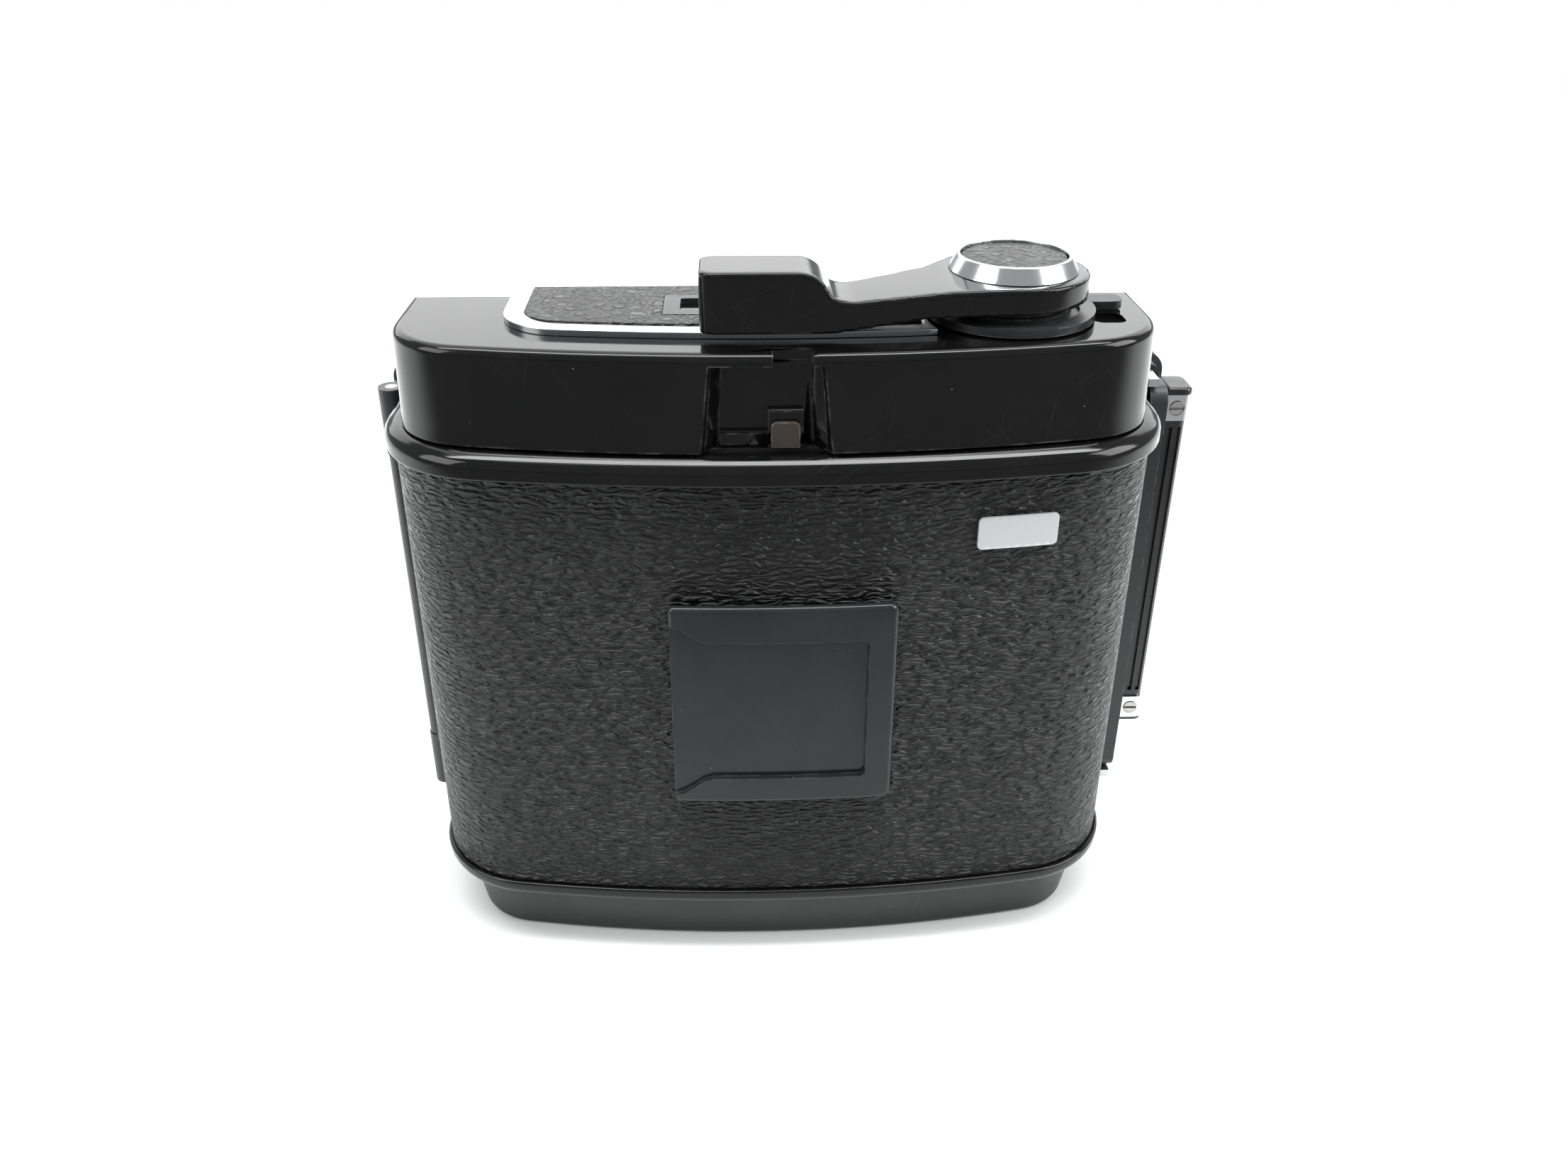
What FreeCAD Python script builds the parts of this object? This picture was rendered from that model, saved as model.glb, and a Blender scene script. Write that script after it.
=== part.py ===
"""Roll-film magazine for a medium-format reflex press camera.

Millimetres, +Z up.  X runs along the film, +Y points at the camera body.
The origin is the middle of the base face.
"""
import FreeCAD, Part
import math
import os

os.makedirs("parts", exist_ok=True)
V = FreeCAD.Vector

# ---- fits -----------------------------------------------------------------
RUN_FIT = 0.06          # radial, pin in a bore
GAP = 0.3               # air between bodies that pass each other
SIT_GAP = 0.4           # cap and cover, parted so that the cover can swing

# ---- rear cover -----------------------------------------------------------
COVER_HALF_WIDTH = 53.4     # over the leather
COVER_REAR_Y = -16.0
COVER_ARC = 245.0
COVER_CORNER = 15.8
COVER_FRONT_Y = 14.8
SKIN = 0.7
COVER_WALL = 1.5
RIM_OUT = 1.25
LOW_RIM_OUT = 0.7
COVER_Z = (9.0, 84.4)
SKIN_Z = (12.0, 80.7)
MID_Z = (SKIN_Z[0] + SKIN_Z[1]) / 2.0

# ---- caps of the film insert ----------------------------------------------
CAP_BASE_Z = COVER_Z[1] + SIT_GAP
CAP_TOP_Z = 98.0
CAP_SIDE = 2.0              # cap inside the cover's leather, each side
CAP_HALF = COVER_HALF_WIDTH - CAP_SIDE
CAP_REAR_Y = -15.3
CAP_ARC = 215.0
CAP_CORNER = 12.0
CAP_FRONT_Y = 12.0
CAP_WALL = 2.0
BASE_TOP_Z = COVER_Z[0] - GAP
BASE_SIDE = (4.6, 3.2)      # at its foot and at its top
BASE_HALF = (COVER_HALF_WIDTH - BASE_SIDE[0], COVER_HALF_WIDTH - BASE_SIDE[1])
BASE_REAR_Y = (-13.3, -14.6)
BASE_ARC = 222.0
BASE_CORNER = 11.5

# ---- film path ------------------------------------------------------------
SPOOL_FLANGE_R = 12.55
SPOOL_LENGTH = 65.5
SPOOL_CORE_R = 6.1
GATE_SIZE = (69.5, 56.0)
FILM_Y = 18.2
ROLLER_R = 2.6
ROLLER_PIN_R = 1.2

# ---- front frame and dark slide -------------------------------------------
NECK_Y = 15.1
GATE_Y = 18.9
SHOULDER_Y = 19.6
PLATE_Y = 23.8
FACE_Y = 28.0
RAIL_X = (COVER_HALF_WIDTH + 4.0, COVER_HALF_WIDTH + 6.7)
PLATE_X = (-COVER_HALF_WIDTH - 5.0, COVER_HALF_WIDTH + 8.4)
PLATE_HALF_H = 38.25
SLIDE_Y = 23.2
SLIDE_T = 0.6
SLIDE_W = 63.0
SLIDE_X = (-38.5, PLATE_X[1] + 1.2)
GRIP_X = (PLATE_X[1] + 0.4, PLATE_X[1] + 4.6)
SEAL_X = (COVER_HALF_WIDTH - 0.4, COVER_HALF_WIDTH + 3.2)
GRIP_Y = (20.6, 27.0)
GRIP_Z = (17.6, 78.6)
BAND_H = 4.3

# ---- hinge ----------------------------------------------------------------
HINGE = (-COVER_HALF_WIDTH - 3.8, 17.2)
BARREL_R = 2.0
HINGE_PIN_R = 0.9
HINGE_Z = (10.2, 20.3, 71.9, 82.6)

# ---- wind lever -----------------------------------------------------------
HUB_R = 10.2
HUB_BASE_Z = CAP_TOP_Z + 2.9
HUB_TOP_Z = CAP_TOP_Z + 6.3
LEVER_UNDER_Z = CAP_TOP_Z + 1.5
GRIP_TOP_Z = CAP_TOP_Z + 9.4
SHAFT_R = 3.0
MODULE = 0.45
GEAR_TEETH = 20
PINION_TEETH = 10
GEAR_Z = (86.2, 89.2)
CENTRES = MODULE * (GEAR_TEETH + PINION_TEETH) / 2.0
HUB_Y = 0.8
HIGH = CAP_TOP_Z + 12.0     # above everything, for cuts
HUB_CUT_Z = CAP_TOP_Z - 8.0


# ---- small helpers ----------------------------------------------------------
def box(x0, x1, y0, y1, z0, z1):
    return Part.makeBox(x1 - x0, y1 - y0, z1 - z0, V(x0, y0, z0))


def rod(x, y, z0, z1, r):
    return Part.makeCylinder(r, z1 - z0, V(x, y, z0))


def tube(x, y, z0, z1, r_out, r_in):
    return rod(x, y, z0, z1, r_out).cut(rod(x, y, z0 - 1, z1 + 1, r_in))


def rod_y(x, z, y0, y1, r):
    return Part.makeCylinder(r, y1 - y0, V(x, y0, z), V(0, 1, 0))


def cone(x, y, z0, z1, r0, r1):
    return Part.makeCone(r0, r1, z1 - z0, V(x, y, z0))


def fuse(shapes):
    out = shapes[0]
    for s in shapes[1:]:
        out = out.fuse(s)
    return out.removeSplitter()


def rounded(shape, radius, pick):
    """Round the edges that pick() accepts, or leave them sharp."""
    edges = [e for e in shape.Edges if pick(e)]
    try:
        out = shape.makeFillet(radius, edges)
        if out.isValid() and len(out.Solids) == len(shape.Solids):
            return out
    except Part.OCCError:
        pass
    return shape


def at_z(z):
    return lambda e: all(abs(v.Point.z - z) < 1e-4 for v in e.Vertexes)


def upright(e):
    if len(e.Vertexes) != 2:
        return False
    a, b = e.Vertexes[0].Point, e.Vertexes[1].Point
    return abs(a.x - b.x) < 1e-6 and abs(a.y - b.y) < 1e-6


def save(name, *solids):
    shape = solids[0] if len(solids) == 1 else Part.makeCompound(list(solids))
    shape.exportStep("parts/" + name + ".step")


def d_wire(half, rear_y, arc, corner, front_y, z):
    """Flat-fronted outline with a bowed rear and two rounded rear corners."""
    oy = rear_y + arc
    fx = half - corner
    fy = oy - math.sqrt((arc - corner) ** 2 - fx ** 2)
    k = arc / (arc - corner)
    tx = fx * k
    ty = oy + (fy - oy) * k
    mid = math.atan2(ty - fy, tx - fx) / 2.0
    mx = fx + corner * math.cos(mid)
    my = fy + corner * math.sin(mid)
    p = [V(-half, front_y, z), V(-half, fy, z), V(-tx, ty, z),
         V(tx, ty, z), V(half, fy, z), V(half, front_y, z)]
    edges = [Part.makeLine(p[0], p[1]),
             Part.Arc(p[1], V(-mx, my, z), p[2]).toShape(),
             Part.Arc(p[2], V(0, rear_y, z), p[3]).toShape(),
             Part.Arc(p[3], V(mx, my, z), p[4]).toShape(),
             Part.makeLine(p[4], p[5]),
             Part.makeLine(p[5], p[0])]
    return Part.Wire(edges)


def cover_wire(inset, front_y, z):
    return d_wire(COVER_HALF_WIDTH - inset, COVER_REAR_Y + inset,
                  COVER_ARC - inset, COVER_CORNER - inset, front_y, z)


def cover_prism(inset, front_y, z0, z1):
    return Part.Face(cover_wire(inset, front_y, z0)).extrude(V(0, 0, z1 - z0))


def loft(wires):
    return Part.makeLoft(wires, True, True)


def polar(cx, cy, r, a, z):
    return V(cx + r * math.cos(a), cy + r * math.sin(a), z)


def gear(cx, cy, z0, z1, teeth, phase):
    """Spur gear with plain tapered teeth and free backlash."""
    pitch = 2 * math.pi / teeth
    r_tip = MODULE * (teeth / 2.0 + 0.8)
    r_root = MODULE * (teeth / 2.0 - 1.1)
    pts = []
    for i in range(teeth):
        a = phase + i * pitch
        pts.append(polar(cx, cy, r_root, a - 0.28 * pitch, z0))
        pts.append(polar(cx, cy, r_tip, a - 0.12 * pitch, z0))
        pts.append(polar(cx, cy, r_tip, a + 0.12 * pitch, z0))
        pts.append(polar(cx, cy, r_root, a + 0.28 * pitch, z0))
    pts.append(pts[0])
    return Part.Face(Part.makePolygon(pts)).extrude(V(0, 0, z1 - z0))


def coil(x, y, z0, z1, r, wire_r, turns):
    """Compression spring standing on z0, of fine twelve-sided wire."""
    pitch = (z1 - z0 - 2 * wire_r) / turns
    helix = Part.makeHelix(pitch, pitch * turns, r)
    steps = [2 * math.pi * i / 12 for i in range(12)]
    section = [V(r + wire_r * math.cos(a), 0, wire_r * math.sin(a)) for a in steps]
    section.append(section[0])
    spring = Part.Wire(helix).makePipeShell([Part.makePolygon(section)], True, True)
    spring.translate(V(x, y, z0 + wire_r))
    return spring


def screw_y(x, z, face_y, r, depth):
    """Slotted screw head facing -Y or +Y; its outer face lies at face_y."""
    head = rod_y(x, z, min(face_y, face_y + depth), max(face_y, face_y + depth), r)
    y0 = face_y - 0.35
    slot = box(x - r - 1, x + r + 1, y0, y0 + 0.7, z - 0.25, z + 0.25)
    return head.cut(slot)


# ---- derived places ---------------------------------------------------------
SPOOL_ROOM_R = SPOOL_FLANGE_R + 1.0
SPOOL_SIDE = 0.65
ARC_Y = COVER_REAR_Y + COVER_ARC
SPOOL_X = COVER_HALF_WIDTH - SKIN - COVER_WALL - max(SPOOL_FLANGE_R + SPOOL_SIDE, COVER_CORNER - 2.6)
SPOOL_Y = ARC_Y - math.sqrt((COVER_ARC - SKIN - COVER_WALL - SPOOL_ROOM_R) ** 2 - SPOOL_X ** 2)
TAKEUP = (SPOOL_X, SPOOL_Y)
HUB = (SPOOL_X - math.sqrt(CENTRES ** 2 - (SPOOL_Y - HUB_Y) ** 2), HUB_Y)
AXIS_ANGLE = math.asin((SPOOL_Y - HUB_Y) / CENTRES)
SUPPLY = (-TAKEUP[0], TAKEUP[1])
# the guide rollers stand clear of the spools' flanges
ROLLER_Y = FILM_Y - 0.4 - ROLLER_R
ROLLER_EAR = ROLLER_PIN_R + 0.5
ROLLER_PASS = SPOOL_FLANGE_R + ROLLER_PIN_R + GAP + 0.1
ROLLER_X = max(COVER_HALF_WIDTH - 7.8,
               SPOOL_X + math.sqrt(max(0.0, ROLLER_PASS ** 2 - (ROLLER_Y - SPOOL_Y) ** 2)))
SPOOL_Z = (MID_Z - SPOOL_LENGTH / 2.0, MID_Z + SPOOL_LENGTH / 2.0)
TOP_PLATE_Z = (SPOOL_Z[1] + 0.5, CAP_BASE_Z)
LOW_PLATE_Z = (BASE_TOP_Z, SPOOL_Z[0] - SIT_GAP)
SWING_R = math.hypot(COVER_HALF_WIDTH - SKIN - COVER_WALL - HINGE[0], HINGE[1] - COVER_FRONT_Y)
INSIDE = SKIN + COVER_WALL + 0.5


def swing_clear(z0, z1):
    """Room that the opening cover never enters."""
    return rod(HINGE[0], HINGE[1], z0, z1, SWING_R - 0.6)


# ============================ rear cover =====================================
def make_cover():
    z0, z1 = COVER_Z
    shell = cover_prism(SKIN, COVER_FRONT_Y, z0, z1)
    rims = []
    for a, b, c in ((SKIN_Z[1], z1 - 1.4, z1), (z0, z0 + 1.4, SKIN_Z[0])):
        if a > 40:
            rims.append(loft([cover_wire(-RIM_OUT, COVER_FRONT_Y, a),
                              cover_wire(-RIM_OUT, COVER_FRONT_Y, b)]))
            rims.append(loft([cover_wire(-RIM_OUT, COVER_FRONT_Y, b),
                              cover_wire(0.3, COVER_FRONT_Y, c)]))
        else:
            rims.append(loft([cover_wire(0.3, COVER_FRONT_Y, a),
                              cover_wire(-LOW_RIM_OUT, COVER_FRONT_Y, b)]))
            rims.append(loft([cover_wire(-LOW_RIM_OUT, COVER_FRONT_Y, b),
                              cover_wire(-LOW_RIM_OUT, COVER_FRONT_Y, c)]))
    body = fuse([shell] + rims)
    body = body.cut(cover_prism(SKIN + COVER_WALL, COVER_FRONT_Y + 5, z0 - 1, z1 + 1))
    skin = cover_prism(0, COVER_FRONT_Y, *SKIN_Z)
    skin = skin.cut(cover_prism(SKIN, COVER_FRONT_Y + 5, 0, 99))
    # hinge: one long barrel on a leaf that is bent round the cover's edge
    x, y = HINGE
    barrel = rod(x, y, HINGE_Z[1] + 0.15, HINGE_Z[2] - 0.15, BARREL_R - 0.2)
    z0, z1 = HINGE_Z[1] + 0.15, HINGE_Z[2] - 0.15
    leaf = fuse([box(x - 0.1, x + 1.3, COVER_FRONT_Y - 0.9, y - 0.9, z0, z1),
                 box(x - 0.1, -COVER_HALF_WIDTH + SKIN, COVER_FRONT_Y - 0.9,
                     COVER_FRONT_Y - 0.1, z0, z1)])
    leaf = leaf.cut(cover_prism(SKIN, COVER_FRONT_Y, 0, 99))
    leaf = leaf.cut(skin)
    knuckle = fuse([barrel, leaf]).cut(rod(x, y, 0, 99, HINGE_PIN_R + RUN_FIT))
    return body, skin, knuckle


cover, skin, cover_knuckle = make_cover()
save("rear_cover", cover)
save("cover_leather", skin)
save("cover_hinge_barrel", cover_knuckle)


def on_cover(out, inset, x0, x1, z0, z1):
    """Bowed slab lying on the leather, proud by out."""
    slab = cover_prism(-out, COVER_FRONT_Y, z0, z1)
    slab = slab.cut(cover_prism(inset, COVER_FRONT_Y + 5, z0 - 1, z1 + 1))
    return slab.common(box(x0, x1, COVER_REAR_Y - 5, 0, z0, z1))


MEMO_X = (-15.4, 16.3)
MEMO_Z = (30.0, 63.0)
MEMO_PROUD = 1.6
memo = on_cover(MEMO_PROUD, 0, MEMO_X[0], MEMO_X[1], MEMO_Z[0], MEMO_Z[1])
memo_pocket = box(MEMO_X[0] - 1, MEMO_X[1] - 3.9, COVER_REAR_Y - 5, 0,
                  MEMO_Z[0] + 4.4, MEMO_Z[1] - 5.6)
memo_pocket = memo_pocket.cut(cover_prism(-0.7, COVER_FRONT_Y, 0, 99))
memo = memo.cut(memo_pocket)
save("memo_holder", memo)

badge = on_cover(0.5, 0, 26.6, 37.8, 70.2, 75.0)
save("name_plate", badge)

# ============================ hinge on the frame =============================
hx, hy = HINGE
knuckles = []
for z0, z1 in ((HINGE_Z[0], HINGE_Z[1] - 0.15), (HINGE_Z[2] + 0.15, HINGE_Z[3])):
    arm = box(hx, hx + 2.6, hy + 0.9, SHOULDER_Y, z0, z1)
    lug = fuse([rod(hx, hy, z0, z1, BARREL_R), arm])
    knuckles.append(lug.cut(rod(hx, hy, 0, 99, HINGE_PIN_R)))
save("hinge_knuckles", *knuckles)
save("hinge_pin", rod(hx, hy, HINGE_Z[0], HINGE_Z[3], HINGE_PIN_R))


# ============================ front frame ====================================
def gate_hole(y0, y1, grow=0.0):
    w, h = GATE_SIZE[0] / 2 + grow, GATE_SIZE[1] / 2 + grow
    return box(-w, w, y0, y1, MID_Z - h, MID_Z + h)


def make_frame():
    neck_z = (COVER_Z[0] + 0.2, COVER_Z[1] - 0.2)
    neck_x = (-COVER_HALF_WIDTH - 1.0, COVER_HALF_WIDTH + 3.5)
    neck = box(neck_x[0], neck_x[1], NECK_Y, SHOULDER_Y, *neck_z)
    shoulder = box(-COVER_HALF_WIDTH - 3.6, RAIL_X[1], SHOULDER_Y, PLATE_Y, *neck_z)
    shoulder = rounded(shoulder, 2.0, lambda e: abs(e.BoundBox.XLength) < 1e-6
                       and abs(e.BoundBox.ZLength) < 1e-6)
    rail = box(RAIL_X[0], RAIL_X[1], 14.0, PLATE_Y, 11.0, 82.0)
    rail = rounded(rail, 2.6, lambda e: abs(e.BoundBox.YLength) < 1e-6
                   and abs(e.BoundBox.ZLength) < 1e-6 and e.BoundBox.YMin < 14.5)
    # light lip that stands inside the closed cover
    lip_x = COVER_HALF_WIDTH - SKIN - COVER_WALL - 0.5
    lip = box(-lip_x, lip_x, NECK_Y - 3.0, NECK_Y, neck_z[0] + 1, neck_z[1] - 1)
    lip = lip.common(swing_clear(0, 99))
    body = fuse([neck, shoulder, rail, lip])
    pocket = box(-COVER_HALF_WIDTH + 3.0, COVER_HALF_WIDTH - 3.0, NECK_Y - 9, GATE_Y,
                 LOW_PLATE_Z[0] + 2.0, TOP_PLATE_Z[1] - 2.4)
    body = body.cut(pocket)
    lip_inner = box(-lip_x + 1.1, lip_x - 1.1, NECK_Y - 9, NECK_Y, 0, 99)
    body = body.cut(lip_inner)
    body = body.cut(gate_hole(0, 40))
    slot = box(SLIDE_X[0] - 0.5, RAIL_X[1] + 9, SLIDE_Y - SLIDE_T / 2 - GAP, PLATE_Y + 0.01,
               MID_Z - SLIDE_W / 2 - GAP, MID_Z + SLIDE_W / 2 + GAP)
    body = body.cut(slot)
    seal = box(SEAL_X[0], SEAL_X[1], SLIDE_Y - 2.2, PLATE_Y + 0.01,
               MID_Z - SLIDE_W / 2 - GAP, MID_Z + SLIDE_W / 2 + GAP)
    return body.cut(seal)


def make_plate():
    z0, z1 = MID_Z - PLATE_HALF_H, MID_Z + PLATE_HALF_H
    plate = box(PLATE_X[0], PLATE_X[1], PLATE_Y, FACE_Y, z0, z1)
    plate = rounded(plate, 3.0, lambda e: abs(e.BoundBox.XLength) < 1e-6
                    and abs(e.BoundBox.ZLength) < 1e-6)
    for a, b in ((z1 - 2.2, z1 + 1), (z0 - 1, z0 + 2.2)):
        plate = plate.cut(box(PLATE_X[0] + 8, PLATE_X[1] - 8, FACE_Y - 2.6, FACE_Y - 1.2, a, b))
    plate = plate.cut(gate_hole(0, 40, 0.6))
    # light groove round the opening
    w, h = GATE_SIZE[0] / 2 + 5, GATE_SIZE[1] / 2 + 4
    ring = box(-w, w, FACE_Y - 1.2, FACE_Y + 1, MID_Z - h, MID_Z + h)
    ring = ring.cut(box(-w + 1.6, w - 1.6, 0, 40, MID_Z - h + 1.6, MID_Z + h - 1.6))
    plate = plate.cut(ring)
    plate = plate.cut(box(SEAL_X[0], SEAL_X[1], 0, SLIDE_Y + 2.2,
                          MID_Z - SLIDE_W / 2 - GAP, MID_Z + SLIDE_W / 2 + GAP))
    for x, z in PLATE_SCREWS:
        plate = plate.cut(rod_y(x, z, FACE_Y - 1.3, FACE_Y + 1, 2.3))
    return plate


PLATE_SCREWS = [(-50.0, MID_Z - 32.5), (-50.0, MID_Z + 32.5),
                (50.0, MID_Z - 34.5), (50.0, MID_Z + 34.5)]
save("front_frame", make_frame())
save("mount_plate", make_plate())
save("plate_screws", *[screw_y(x, z, FACE_Y - 0.15, 2.0, -1.15) for x, z in PLATE_SCREWS])

felt = []
for a, b in ((SLIDE_Y - 2.2, SLIDE_Y - 0.65), (SLIDE_Y + 0.65, SLIDE_Y + 2.2)):
    felt.append(box(SEAL_X[0], SEAL_X[1], a, b, MID_Z - SLIDE_W / 2 - 0.2, MID_Z + SLIDE_W / 2 + 0.2))
save("slide_seals", *felt)

rails = []
for s in (-1, 1):
    zc = MID_Z + s * (GATE_SIZE[1] / 2 + 1.4)
    rails.append(box(-37.5, 37.5, GATE_Y - 0.5, GATE_Y, zc - 0.9, zc + 0.9))
save("film_rails", *rails)

cx = COVER_HALF_WIDTH + 3.5
catches = [box(cx, cx + 1.5, 14.6, 19.0, 82.3, 83.5),
           box(cx + 0.6, cx + 2.8, 14.2, 19.0, 9.3, 10.7)]
catches[0] = catches[0].fuse(box(cx, cx + 1.5, 17.6, 19.6, 82.0, 83.5))
catches[1] = catches[1].fuse(box(cx + 0.6, cx + 2.8, 17.6, 19.6, 9.3, 11.0))
save("cover_catches", *catches)


# ============================ dark slide =====================================
def make_slide():
    s = box(SLIDE_X[0], SLIDE_X[1], SLIDE_Y - SLIDE_T / 2, SLIDE_Y + SLIDE_T / 2,
            MID_Z - SLIDE_W / 2, MID_Z + SLIDE_W / 2)
    s = rounded(s, 4.0, lambda e: abs(e.BoundBox.XLength) < 1e-6
                and abs(e.BoundBox.ZLength) < 1e-6 and e.BoundBox.XMax < 0)
    # the outer end narrows to go inside the grip
    s = s.cut(box(RAIL_X[1] + 0.5, GRIP_X[1], 20, 26, 0, GRIP_Z[0] + 1))
    return s.cut(box(RAIL_X[1] + 0.5, GRIP_X[1], 20, 26, GRIP_Z[1] - 1, 99))


slide = make_slide()
save("dark_slide", slide)


def grip_block(z0, z1, grow):
    b = box(GRIP_X[0], GRIP_X[1] + grow, GRIP_Y[0] - grow, GRIP_Y[1] + grow, z0, z1)
    return rounded(b, 1.4, lambda e: upright(e) and e.BoundBox.XMin > GRIP_X[0] + 1)


grip = grip_block(GRIP_Z[0] + BAND_H, GRIP_Z[1] - BAND_H, -0.35)
for i in range(3):
    yc = GRIP_Y[0] + 1.7 + i * 1.5
    grip = grip.cut(box(GRIP_X[1] - 0.95, GRIP_X[1] + 1, yc - 0.4, yc + 0.4,
                        GRIP_Z[0] + BAND_H + 1.2, GRIP_Z[1] - BAND_H - 1.2))
for i in range(2):
    xc = GRIP_X[0] + 1.3 + i * 1.4
    grip = grip.cut(box(xc - 0.35, xc + 0.35, GRIP_Y[0] - 1, GRIP_Y[0] + 0.95,
                        GRIP_Z[0] + BAND_H + 1.2, GRIP_Z[1] - BAND_H - 1.2))
grip = grip.cut(slide)
save("slide_grip", grip)
SLIDE_RIVET_X = GRIP_X[0] + 1.75
band_z = [(GRIP_Z[0], GRIP_Z[0] + BAND_H), (GRIP_Z[1] - BAND_H, GRIP_Z[1])]
rivet_z = [(a + b) / 2 for a, b in band_z]
bands = []
for (a, b), rz in zip(band_z, rivet_z):
    band = grip_block(a, b, 0.0).cut(slide)
    bands.append(band.cut(rod_y(SLIDE_RIVET_X, rz, GRIP_Y[0] - 1, GRIP_Y[0] + 0.6, 1.25)))
save("slide_bands", *bands)
end_caps = [rounded(grip_block(GRIP_Z[1], GRIP_Z[1] + 1.1, 0.0), 0.7, at_z(GRIP_Z[1] + 1.1)),
            grip_block(GRIP_Z[0] - 0.5, GRIP_Z[0], 0.0)]
save("slide_end_caps", *end_caps)
save("slide_rivets", *[screw_y(SLIDE_RIVET_X, rz, GRIP_Y[0] - 0.1, 1.1, 0.7) for rz in rivet_z])


# ============================ insert frame ===================================
def make_insert():
    out = []
    for z0, z1 in (LOW_PLATE_Z, TOP_PLATE_Z):
        plate = cover_prism(INSIDE, NECK_Y - 3.4, z0, z1).common(swing_clear(z0, z1))
        out.append(plate)
    ext = [(LOW_PLATE_Z[1] - 1.6, LOW_PLATE_Z[1]), (TOP_PLATE_Z[0], TOP_PLATE_Z[0] + 1.9)]
    for z0, z1 in ext:
        out.append(box(-ROLLER_X - ROLLER_EAR, ROLLER_X + ROLLER_EAR, NECK_Y - 4.5, ROLLER_Y + 2.0, z0, z1))
    body = fuse(out)
    for x, y in (TAKEUP, SUPPLY):
        body = body.cut(rod(x, y, 0, 30, STUD_R + RUN_FIT))
    body = body.cut(rod(TAKEUP[0], TAKEUP[1], 60, 99, DRIVE_R + RUN_FIT))
    body = body.cut(rod(HUB[0], HUB[1], 82.0, 99, PIVOT_R + RUN_FIT))
    body = body.cut(rod(SUPPLY[0], SUPPLY[1], 60, TOP_PLATE_Z[0] + 2, STUD_R))
    for s in (-1, 1):
        body = body.cut(rod(s * ROLLER_X, ROLLER_Y, LOW_PLATE_Z[1] - 1.2, TOP_PLATE_Z[0] + 1.2,
                            ROLLER_PIN_R))
    return body


def make_spine():
    """Sheet walls between the plates: they part the two film chambers."""
    x, t = SPINE_X, SPINE_T
    z0, z1 = LOW_PLATE_Z[1], TOP_PLATE_Z[0]
    y0, y1 = SPINE_Y
    return [box(-x, x, y1 - t, y1, z0, z1),
            box(-x, -x + t, y0, y1 - t, z0, z1),
            box(x - t, x, y0, y1 - t, z0, z1)]


SPINE_X = 22.4
SPINE_T = 1.6
SPINE_Y = (-12.0, 13.6)
STUD_R = 3.0
DRIVE_R = 2.0
PIVOT_R = 1.5
save("insert_frame", make_insert())
save("chamber_walls", *make_spine())

z0r, z1r = SPOOL_Z[0] + 1.4, SPOOL_Z[1] - 1.4
for side, s in (("left", -1), ("right", 1)):
    roller = tube(s * ROLLER_X, ROLLER_Y, z0r, z1r, ROLLER_R, ROLLER_PIN_R + RUN_FIT)
    waist = tube(s * ROLLER_X, ROLLER_Y, z0r + 4, z1r - 4, ROLLER_R + 1, ROLLER_R - 0.25)
    save("guide_roller_" + side, roller.cut(waist))
save("roller_pins", *[rod(s * ROLLER_X, ROLLER_Y, LOW_PLATE_Z[1] - 1.2, TOP_PLATE_Z[0] + 1.2,
                          ROLLER_PIN_R) for s in (-1, 1)])

# pressure plate with two bowed leaf springs
PRESS_Y = (16.8, 18.0)
plate = box(-37.4, 37.4, PRESS_Y[0], PRESS_Y[1], MID_Z - 30.6, MID_Z + 30.6)
plate = rounded(plate, 2.5, lambda e: abs(e.BoundBox.XLength) < 1e-6
                and abs(e.BoundBox.ZLength) < 1e-6)
save("pressure_plate", plate)


def leaf_spring(xc, half_w, half_h, bow, t):
    a = Part.Arc(V(0, PRESS_Y[0], MID_Z - half_h), V(0, PRESS_Y[0] - bow, MID_Z),
                 V(0, PRESS_Y[0], MID_Z + half_h)).toShape()
    b = Part.Arc(V(0, PRESS_Y[0], MID_Z + half_h - 1), V(0, PRESS_Y[0] - bow + t, MID_Z),
                 V(0, PRESS_Y[0], MID_Z - half_h + 1)).toShape()
    w = Part.Wire([a, Part.makeLine(V(0, PRESS_Y[0], MID_Z + half_h),
                                    V(0, PRESS_Y[0], MID_Z + half_h - 1)), b,
                   Part.makeLine(V(0, PRESS_Y[0], MID_Z - half_h + 1),
                                 V(0, PRESS_Y[0], MID_Z - half_h))])
    s = Part.Face(w).extrude(V(2 * half_w, 0, 0))
    s.translate(V(xc - half_w, 0, 0))
    return s


save("plate_springs", *[leaf_spring(x, 3.0, 18.0, 2.0, 0.35) for x in (-14.0, 14.0)])


# ============================ spools and studs ===============================
def make_spool(x, y):
    z0, z1 = SPOOL_Z
    s = fuse([rod(x, y, z0, z1, SPOOL_CORE_R), rod(x, y, z0, z0 + 0.9, SPOOL_FLANGE_R),
              rod(x, y, z1 - 0.9, z1, SPOOL_FLANGE_R)])
    s = s.cut(rod(x, y, z0 - 1, z0 + 8, 4.0)).cut(rod(x, y, z1 - 8, z1 + 1, 4.0))
    s = s.cut(box(x - 0.55, x + 0.55, y - 20, y + 20, z0 + 9, z1 - 9))
    for a, b in ((z0 - 1, z0 + 3.5), (z1 - 3.5, z1 + 1)):
        s = s.cut(box(x - 5.1, x + 5.1, y - 0.9, y + 0.9, a, b))
    return s


save("takeup_spool", make_spool(*TAKEUP))

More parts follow.
